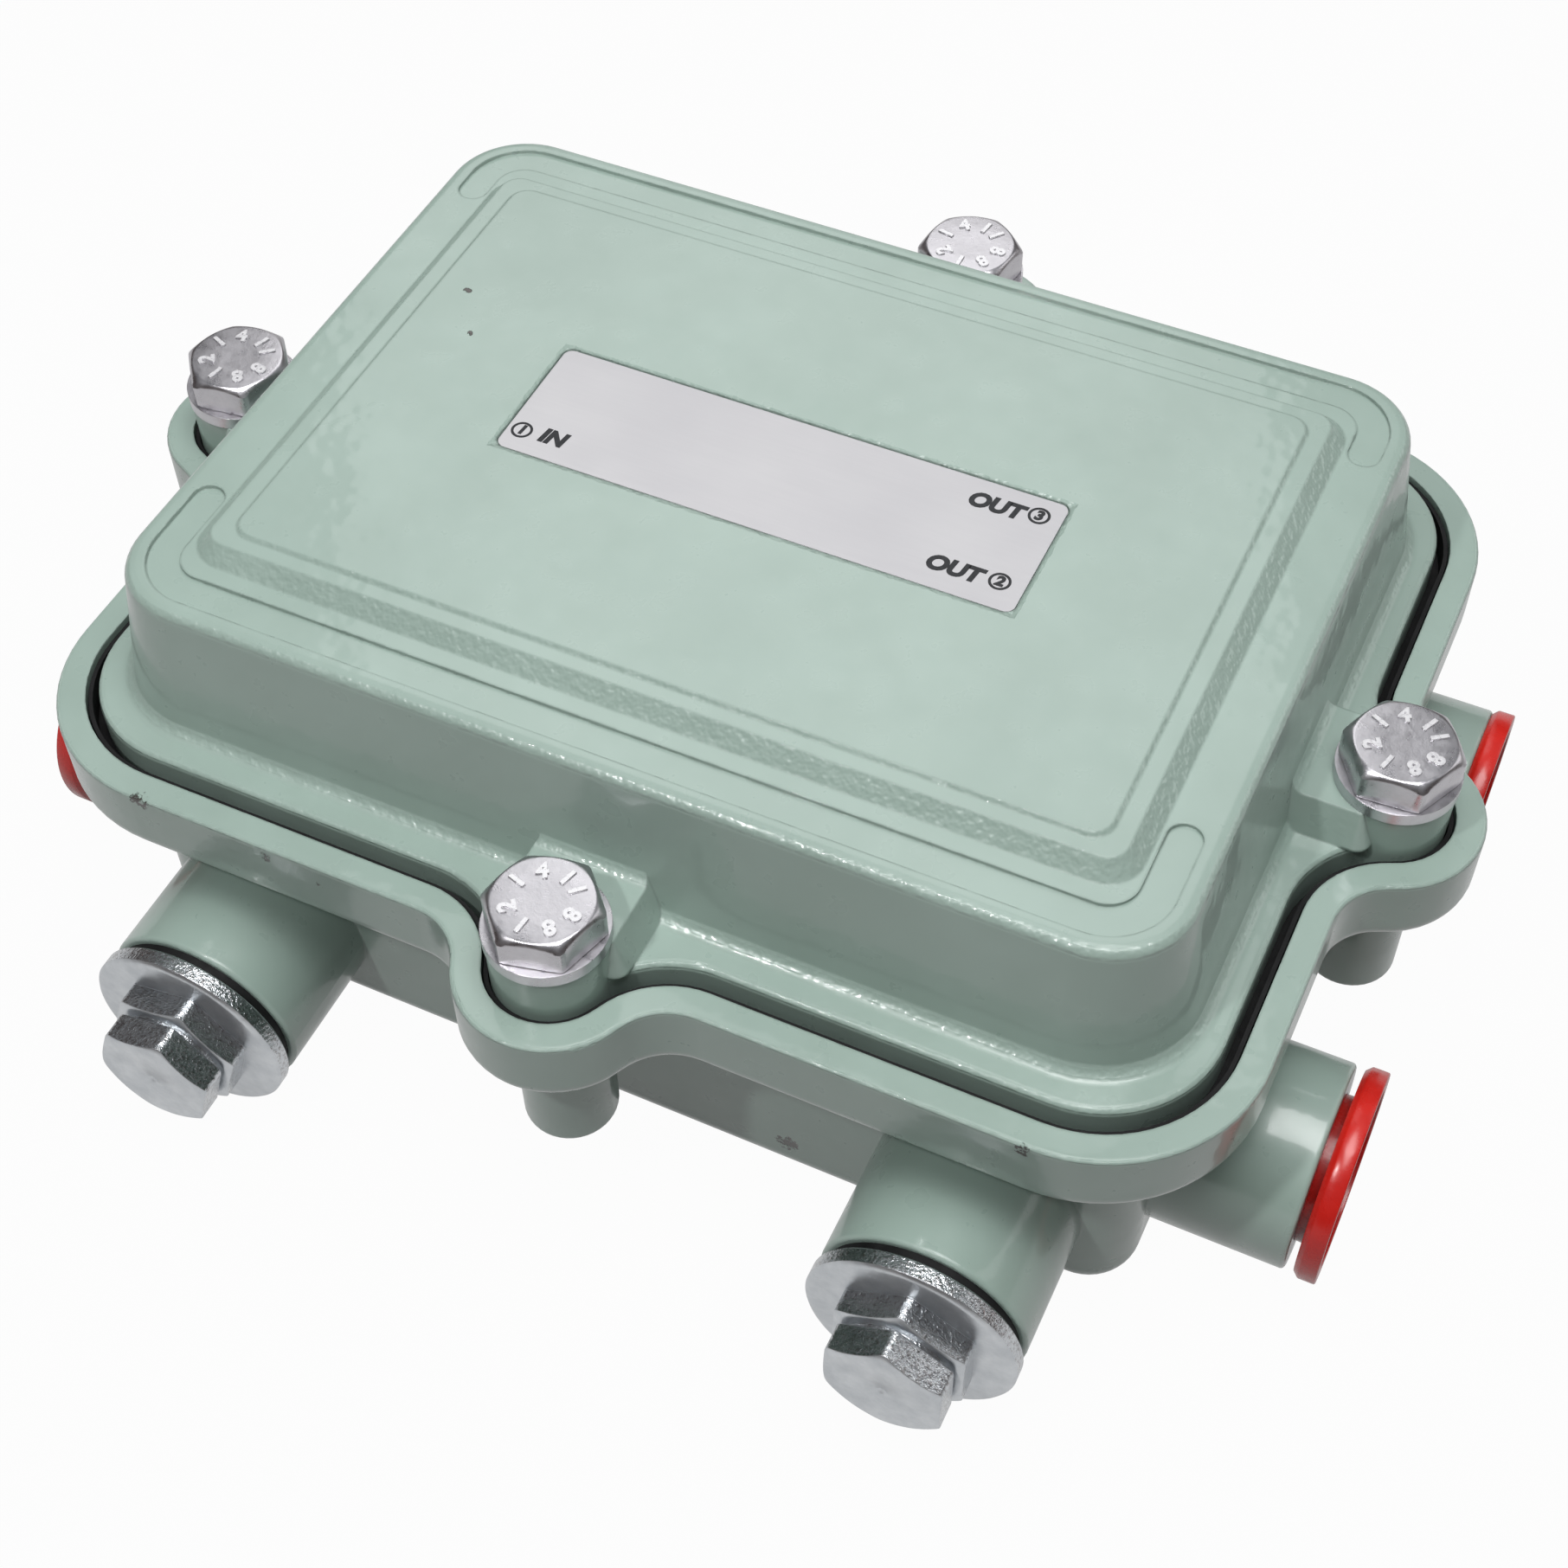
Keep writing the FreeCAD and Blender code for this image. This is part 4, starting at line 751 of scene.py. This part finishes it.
def bolt_mesh(length):
    """A hexagon bolt: head from Z 0 upwards, shank below."""
    shank = BOLT_RADIUS
    start = BOLT_POINT - length
    rows = thread_rows(shank, BOLT_THREAD_DEPTH, BOLT_PITCH, start, -BOLT_PLAIN, BOLT_PITCH)

    def outline(angle):
        made = [(0.0, -length), (shank - BOLT_POINT, -length)]
        made.append((shank - 0.15 * MM, BOLT_POINT * 0.9 - length))
        made += [(at(angle), height) for height, at in rows]
        made += [(shank, -BOLT_PLAIN + 0.2 * MM), (shank, -0.3 * MM), (shank + 0.05 * MM, 0.0)]
        face = HEAD_FACE - 0.03 * MM
        made += hex_step(angle, HEAD_FLATS, 0.0, face, HEAD_SLOPE, HEAD_CHAMFER, HEAD_SHOULDER)
        made += [(4.7 * MM, HEAD_FACE), (2.0 * MM, HEAD_FACE - 0.04 * MM), (0.0, HEAD_FACE - 0.06 * MM)]
        return made

    return turned(outline, steps=96)


def lid_bolts():
    points, faces = bolt_mesh(BOLT_LENGTH)
    for side in SIDES:
        body = "bolt_" + side
        centre = middle_of(body)
        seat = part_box(body)[1].z - HEAD_HIGH
        turn = Matrix.Rotation(math.radians(BOLT_TURN[side]), 4, "Z")
        place = Matrix.Translation((centre.x, centre.y, seat)) @ turn
        made = piece("hex_bolt_" + side, points, faces, body, "zinc_steel", place)
        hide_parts(body)
        bolt_marks(side, body, place)


def bolt_marks(side, body, place):
    """The raised digits and strokes on a bolt's head, rubbed bright and painted lighter as a highlight."""
    for i, (text, degrees) in enumerate(MARKS):
        angle = math.radians(degrees)
        at = Vector((MARK_RING * math.cos(angle), MARK_RING * math.sin(angle), HEAD_FACE))
        mark = place @ Matrix.Translation(at) @ Matrix.Rotation(angle - math.pi / 2, 4, "Z")
        raised_mark(
            "bolt_mark_%s_%d" % (side, i), text, MARK_SIZE, body, mark, MARK_HIGH,
            "rubbed_highlight_mark", weight=MARK_WEIGHT,
        )


lid_bolts()


# port plugs


def plug_mesh(reach, seat):
    """A screw plug along Z: the flange's underside is at the seat, the shank goes down to -reach."""
    thread_top = -PORT_MOUTH + 0.3 * MM
    rows = thread_rows(
        PORT_THREAD_RADIUS, PORT_THREAD_DEPTH, PORT_PITCH, 0.8 * MM - reach, thread_top, PORT_PITCH,
        per_turn=7,
    )
    soft = 0.25 * MM

    def outline(angle):
        level = SEAL_THICK + PLUG_FLANGE
        made = [(0.0, -reach), (PORT_THREAD_RADIUS - 0.9 * MM, -reach)]
        made += [(at(angle), height) for height, at in rows]
        made += [(PLUG_SHOULDER, thread_top + 0.1 * MM), (PLUG_SHOULDER, seat)]
        made += [
            (PLUG_WIDE - soft, seat), (PLUG_WIDE, seat + soft), (PLUG_WIDE, level - 1.6 * soft),
            (PLUG_WIDE - soft, level - 0.5 * soft), (PLUG_WIDE - 2.6 * soft, level),
        ]
        made += hex_step(angle, PLUG_LOWER_FLATS, level, level + PLUG_LOWER, slope=20.0, chamfer=0.97)
        level += PLUG_LOWER
        made += [(PLUG_NECK_RADIUS, level), (PLUG_NECK_RADIUS, level + PLUG_NECK)]
        level += PLUG_NECK
        made += hex_step(angle, PLUG_UPPER_FLATS, level, level + PLUG_UPPER, slope=25.0, chamfer=0.99)
        level += PLUG_UPPER
        made += [(0.9 * MM, level), (0.5 * MM, level - 0.2 * MM), (0.0, level - 0.6 * MM)]
        return made

    return turned(outline, steps=120)


def port_plugs():
    for name, (way, turn) in PLUGS.items():
        body = "port_plug_" + name
        points, faces = plug_mesh(length_along(body, way) - PLUG_HIGH, SEAL_THICK + SEAL_GAP)
        points = rotated(points, turn)
        place = Matrix.Translation(outer_face(body, way) - AXES[way] * PLUG_HIGH) @ OUTWARDS[way]
        made = piece("screw_plug_" + name, points, faces, body, "bright_zinc", place)
        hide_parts(body)


port_plugs()


# port caps and the threads inside the ports


def cap_outline(angle):
    """A push-in cap: cup below Z 0, bevelled flange above it, hollow from the front."""
    soft = 0.07 * MM
    lip = CAP_WIDE - CAP_LIP
    step = CAP_THICK - CAP_RECESS
    floor_z = CAP_FLOOR - CAP_LONG
    return [
        (0.0, -CAP_LONG), (CAP_BODY - 0.6 * MM, -CAP_LONG), (CAP_BODY - 0.2 * MM, 0.4 * MM - CAP_LONG),
        (CAP_BODY - 0.05 * MM, 1.2 * MM - CAP_LONG), (CAP_BODY - 0.05 * MM, -1.2 * MM), (CAP_BODY, -0.4 * MM),
        (CAP_BODY, 0.0), (CAP_WIDE - CAP_BEVEL, 0.0), (CAP_WIDE - soft, CAP_BEVEL - soft),
        (CAP_WIDE, CAP_BEVEL + soft), (CAP_WIDE, CAP_THICK - 2 * soft),
        (CAP_WIDE - soft, CAP_THICK - soft / 2), (CAP_WIDE - 2 * soft, CAP_THICK),
        (lip + soft, CAP_THICK), (lip, CAP_THICK - soft), (lip - soft, step + soft), (lip - 2 * soft, step),
        (CAP_CUP + soft, step), (CAP_CUP, step - soft), (CAP_CUP - soft, floor_z + soft),
        (CAP_CUP - 2 * soft, floor_z), (2.2 * MM, floor_z), (1.9 * MM, floor_z + 0.35 * MM),
        (0.0, floor_z + 0.45 * MM),
    ]


def port_caps():
    points, faces = turned(cap_outline, steps=96)
    for name, way in CAPS.items():
        body = "port_cap_" + name
        place = Matrix.Translation(outer_face(body, way) - AXES[way] * CAP_THICK) @ OUTWARDS[way]
        made = piece("push_cap_" + name, points, faces, body, "red_plastic", place, sharp=40.0)
        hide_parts(body)


port_caps()


def sleeve(bottom, top, steps=72):
    """The thread inside a port, matched to the plug's: ridges inwards from a plain outer skin."""
    rows = thread_rows(
        PORT_THREAD_RADIUS + THREAD_GAP, PORT_THREAD_DEPTH, PORT_PITCH, bottom, top, PORT_PITCH,
        per_turn=6,
    )
    rings = [(bottom, lambda angle: SLEEVE_SKIN)] + rows + [(top, lambda angle: SLEEVE_SKIN)]
    points = []
    for height, radius in rings:
        for k in range(steps):
            angle = 2 * math.pi * k / steps
            reach = radius(angle)
            points.append((reach * math.cos(angle), reach * math.sin(angle), height))
    faces = []
    for row in range(len(rings)):
        a, b = row * steps, (row + 1) % len(rings) * steps
        for k in range(steps):
            after = (k + 1) % steps
            faces.append((a + after, a + k, b + k, b + after))
    return points, faces


def port_threads():
    """A thread in each port: where a plug sits, it is turned as that plug is."""
    mouths = [(name, way, turn, "port_plug_" + name, PLUG_HIGH) for name, (way, turn) in PLUGS.items()]
    for name, way in CAPS.items():
        proud = CAP_PROUD if name == "right_front" else 0.0
        mouths.append((name, way, 0.0, "port_cap_" + name, CAP_THICK + proud))
    for name, way, turn, node, stand in mouths:
        mouth = outer_face(node, way) - AXES[way] * stand
        wall = (SIDE_TUBE if way in ("left", "right") else END_TUBE) + TUB_WALL
        points, faces = sleeve(0.2 * MM - wall, -PORT_MOUTH)
        points = rotated(points, turn)
        place = Matrix.Translation(mouth) @ OUTWARDS[way]
        piece("port_thread_" + name, points, faces, "base", "painted_casting", place, sharp=25.0)


port_threads()


# circuit board: tracks, solder, numbers and the windings of the ferrite cores


def ribbon(points, width, thick):
    """A flat track along a path in the XY plane, with mitred corners."""
    path = [Vector(p) for p in points]
    sides = []
    for i, here in enumerate(path):
        before = (here - path[max(i - 1, 0)]).normalized()
        after = (path[min(i + 1, len(path) - 1)] - here).normalized()
        way = (before + after).normalized()
        across = Vector((-way.y, way.x))
        straight = after if after.length > 0 else before
        widen = 1 / max(0.5, abs(across.dot(Vector((-straight.y, straight.x)))))
        sides.append((here + across * widen * width / 2, here - across * widen * width / 2))
    corners = []
    for height in (0.0, thick):
        for left, right in sides:
            corners.append((left.x, left.y, height))
            corners.append((right.x, right.y, height))
    top = 2 * len(path)
    faces = []
    for i in range(0, top - 2, 2):
        faces.append((top + i + 1, top + i + 3, top + i + 2, top + i))
        faces.append((i, i + 2, i + 3, i + 1))
        faces.append((i, top + i, top + i + 2, i + 2))
        faces.append((i + 3, top + i + 3, top + i + 1, i + 1))
    faces.append((0, 1, top + 1, top))
    faces.append((top - 2, 2 * top - 2, 2 * top - 1, top - 1))
    return corners, faces


def track_paths(name, sx, sy):
    """A line's tracks: terminal to choke, choke to core, terminal to fuse, fuse to core."""
    x, y = post_place(name, sx, sy)
    low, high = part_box("choke_coil_" + name)
    choke_y = (low.y + high.y) / 2
    outer_x, inner_x = (high.x, low.x) if sx > 0 else (low.x, high.x)
    lead_x = outer_x - sx * COIL_LEAD
    slant = (inner_x - sx * TRACK_SLANT, choke_y - sy * TRACK_SLANT)
    choke_end = (sx * CHOKE_TRACK_END[0], sy * CHOKE_TRACK_END[1])
    fuse = middle_of("fuse_holder_" + name)
    fuse_in = fuse.y + sy * FUSE_PIN_IN
    fuse_out = fuse.y - sy * FUSE_PIN_OUT
    fuse_end = (sx * FUSE_TRACK_END[0], sy * FUSE_TRACK_END[1])
    return (
        [(x, y), (lead_x, y), (lead_x, choke_y)],
        [(inner_x, choke_y), slant, choke_end],
        [(x, y), (x, fuse_in), (fuse.x, fuse_in)],
        [(fuse.x - sx * FUSE_PIN_ASIDE, fuse_out), (sx * FUSE_TRACK_BEND, fuse_out), fuse_end],
    )


def post_place(name, sx, sy):
    """Where a terminal's post comes up through the board."""
    middle = middle_of("terminal_" + name)
    return middle.x - sx * POST_OFFSET, middle.y - sy * POST_OFFSET


def board_details():
    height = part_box("circuit_board")[1].z
    top = Matrix.Translation((0, 0, height))
    for name, sx, sy, number in LINES:
        for i, path in enumerate(track_paths(name, sx, sy)):
            points, faces = ribbon(path, TRACK_WIDE, TRACK_THICK)
            piece("track_%s_%d" % (name, i), points, faces, "base", "board_laminate", top, finish="track")
        points, faces = turned(solder_outline, steps=28)
        place = Matrix.Translation((*post_place(name, sx, sy), height))
        piece("solder_" + name, points, faces, "base", "zinc_steel", place, finish="solder")
        middle = middle_of("terminal_" + name)
        place = Matrix.Translation((middle.x - sx * NUMBER_ASIDE, middle.y - sy * NUMBER_AWAY, height))
        raised_mark(
            "board_number_" + name, number, NUMBER_SIZE, "base", place, NUMBER_THICK,
            "screen_print",
        )


def solder_outline(angle):
    """A fillet of solder round a terminal's post."""
    return [
        (0.0, 0.02 * MM), (1.7 * MM, 0.02 * MM), (1.65 * MM, 0.08 * MM), (1.25 * MM, 0.3 * MM),
        (1.02 * MM, 0.75 * MM), (0.95 * MM, 1.1 * MM), (0.0, 1.15 * MM),
    ]


def core_windings():
    """Two turns of wire through each bore of the ferrite cores."""
    for name in ("splitter_transformer", "matching_transformer"):
        low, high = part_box(name)
        for side, share in (("left", 0.25), ("right", 0.75)):
            x = low.x + share * (high.x - low.x)
            wire_curve("winding_%s_%s" % (name, side), core_turns(low, high, x), WIRE, "base")


def core_turns(low, high, x):
    """The wire's path: through the bore at x, over the core and back, and down to the board."""
    front, back = low.y - WIRE, high.y + WIRE
    bore, top = (low.z + high.z) / 2, high.z + WIRE
    points = []
    for turn in (-1, 0, 1):
        shift = turn * 2.4 * WIRE
        lift = turn * 1.2 * WIRE
        points.append((x + shift / 2, front, bore + lift))
        points.append((x + shift / 2, back, bore + lift))
        points.append((x + shift, back, top))
        points.append((x + shift + WIRE, front, top))
    points.append((x + 2.6 * WIRE, front - WIRE, low.z + 0.1 * MM))
    return points


def wire_curve(name, points, radius, body):
    curve = bpy.data.curves.new(name, "CURVE")
    curve.dimensions = "3D"
    curve.bevel_depth = radius
    curve.bevel_resolution = 3
    curve.use_fill_caps = True
    run = curve.splines.new("BEZIER")
    run.bezier_points.add(len(points) - 1)
    for point, where in zip(run.bezier_points, points):
        point.co = where
        point.handle_left_type = "VECTOR"
        point.handle_right_type = "VECTOR"
    for i in range(1, len(points) - 1):
        before, here, after = (Vector(points[j]) for j in (i - 1, i, i + 1))
        way = (after - before).normalized()
        reach = min((here - before).length, (after - here).length) * 0.3
        knot = run.bezier_points[i]
        knot.handle_left_type = "FREE"
        knot.handle_right_type = "FREE"
        knot.handle_left = here - way * reach
        knot.handle_right = here + way * reach
    curve.materials.append(MATERIALS["enamelled_copper"])
    made = bpy.data.objects.new(name, curve)
    SCENE.collection.objects.link(made)
    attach(made, body)


board_details()
core_windings()


# printed plate


def label_print():
    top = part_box("label_plate")[1].z
    for i, (word, x, y, number, circle_x, circle_y) in enumerate(PRINT):
        place = Matrix.Translation((x * MM, y * MM, top))
        raised_mark(
            "print_word_%d" % i, word, WORD_SIZE, "lid", place, PRINT_THICK,
            "ink", lean=WORD_LEAN, weight=WORD_WEIGHT,
        )
        place = Matrix.Translation((circle_x * MM, circle_y * MM, top))
        raised_mark(
            "print_number_%d" % i, number, DIGIT_SIZE, "lid", place, PRINT_THICK,
            "ink", lean=DIGIT_LEAN, weight=DIGIT_WEIGHT,
        )
        points, faces = flat_ring(CIRCLE_OUTER, CIRCLE_INNER, CIRCLE_THICK, steps=40)
        piece("print_ring_%d" % i, points, faces, "lid", "black_plastic", place, finish="ink")


def flat_ring(outer, inner, thick, steps):
    """A thin ring lying on Z 0."""
    profile = [(inner, 0.0), (outer, 0.0), (outer, thick), (inner, thick)]
    points = []
    for radius, height in profile:
        for k in range(steps):
            angle = 2 * math.pi * k / steps
            points.append((radius * math.cos(angle), radius * math.sin(angle), height))
    faces = []
    for row in range(4):
        a, b = row * steps, (row + 1) % 4 * steps
        for k in range(steps):
            after = (k + 1) % steps
            faces.append((a + k, a + after, b + after, b + k))
    return points, faces


label_print()


# floor, light and camera


def floor_material():
    """Pale grey for light and shadow, and nearly white where it is seen or mirrored."""
    material = bpy.data.materials.new("floor_white")
    material.use_nodes = True
    tree = material.node_tree
    tree.nodes.clear()
    plain = tree.nodes.new("ShaderNodeBsdfDiffuse")
    plain.inputs["Color"].default_value = (FLOOR_TONE, FLOOR_TONE, FLOOR_TONE, 1)
    glow = tree.nodes.new("ShaderNodeEmission")
    glow.inputs["Strength"].default_value = 1.0
    mixed = tree.nodes.new("ShaderNodeMixShader")
    tree.links.new(glow_share(tree), mixed.inputs[0])
    tree.links.new(plain.outputs[0], mixed.inputs[1])
    tree.links.new(glow.outputs[0], mixed.inputs[2])
    out = tree.nodes.new("ShaderNodeOutputMaterial")
    tree.links.new(mixed.outputs[0], out.inputs["Surface"])
    return material


def glow_share(tree):
    """The largest of the kinds of ray, each times its share."""
    ray = tree.nodes.new("ShaderNodeLightPath")
    most = None
    for kind, part in FLOOR_GLOW.items():
        share = tree.nodes.new("ShaderNodeMath")
        share.operation = "MULTIPLY"
        share.inputs[1].default_value = part
        tree.links.new(ray.outputs[kind], share.inputs[0])
        if most is None:
            most = share.outputs[0]
            continue
        either = tree.nodes.new("ShaderNodeMath")
        either.operation = "MAXIMUM"
        tree.links.new(most, either.inputs[0])
        tree.links.new(share.outputs[0], either.inputs[1])
        most = either.outputs[0]
    return most


def floor():
    height = cad_box[0].z - FLOOR_GAP
    corners = [(x * FLOOR_REACH, y * FLOOR_REACH, height) for x, y in ((-1, -1), (1, -1), (1, 1), (-1, 1))]
    mesh = bpy.data.meshes.new("floor")
    mesh.from_pydata(corners, [], [(0, 1, 2, 3)])
    mesh.materials.append(floor_material())
    made = bpy.data.objects.new("floor", mesh)
    SCENE.collection.objects.link(made)


def lamp(name, azimuth, elevation, distance, size, power):
    """A square soft lamp that looks at the middle of the part."""
    data = bpy.data.lights.new(name, "AREA")
    data.size = size
    data.energy = power
    made = bpy.data.objects.new(name, data)
    SCENE.collection.objects.link(made)
    aim = (cad_box[0] + cad_box[1]) / 2
    away = direction(math.radians(azimuth), math.radians(elevation))
    made.location = aim + away * distance
    made.rotation_euler = away.to_track_quat("Z", "Y").to_euler()


def direction(azimuth, elevation):
    """Unit vector towards an azimuth, which is 0 in front and grows to the right, and an elevation."""
    level = math.cos(elevation)
    return Vector((math.sin(azimuth) * level, -math.cos(azimuth) * level, math.sin(elevation)))


def camera():
    away = direction(VIEW_AZIMUTH, VIEW_ELEVATION)
    level = Vector((math.cos(VIEW_AZIMUTH), math.sin(VIEW_AZIMUTH), 0))
    up = away.cross(level)
    right = level * math.cos(VIEW_ROLL) + up * math.sin(VIEW_ROLL)
    up = up * math.cos(VIEW_ROLL) - level * math.sin(VIEW_ROLL)
    place = Vector((0, 0, VIEW_HEIGHT)) + away * VIEW_DISTANCE + right * VIEW_ASIDE + up * VIEW_BELOW
    data = bpy.data.cameras.new("camera")
    data.lens = LENS
    data.sensor_width = 36.0
    data.clip_start = 0.01
    data.clip_end = 20.0
    made = bpy.data.objects.new("camera", data)
    SCENE.collection.objects.link(made)
    turn = Matrix((right, up, away)).transposed().to_4x4()
    made.matrix_world = Matrix.Translation(place) @ turn
    SCENE.camera = made


def world():
    """White behind the part; the light itself is soft from above and dim near the horizon."""
    made = bpy.data.worlds.new("studio")
    made.use_nodes = True
    tree = made.node_tree
    tree.nodes.clear()
    ways = tree.nodes.new("ShaderNodeSeparateXYZ")
    tree.links.new(tree.nodes.new("ShaderNodeTexCoord").outputs["Generated"], ways.inputs[0])
    rise = tree.nodes.new("ShaderNodeValToRGB")
    for point, (height, colour) in zip(rise.color_ramp.elements, SKY):
        point.position = height
        point.color = colour
    tree.links.new(ways.outputs["Z"], rise.inputs["Fac"])
    sky = tree.nodes.new("ShaderNodeBackground")
    tree.links.new(rise.outputs["Color"], sky.inputs["Color"])
    white = tree.nodes.new("ShaderNodeBackground")
    white.inputs["Color"].default_value = (1, 1, 1, 1)
    mixed = tree.nodes.new("ShaderNodeMixShader")
    tree.links.new(tree.nodes.new("ShaderNodeLightPath").outputs["Is Camera Ray"], mixed.inputs[0])
    tree.links.new(sky.outputs[0], mixed.inputs[1])
    tree.links.new(white.outputs[0], mixed.inputs[2])
    out = tree.nodes.new("ShaderNodeOutputWorld")
    tree.links.new(mixed.outputs[0], out.inputs["Surface"])
    SCENE.world = made


floor()
for name, values in LAMPS.items():
    lamp(name, *values)
world()
camera()
SCENE.view_settings.view_transform = "Standard"
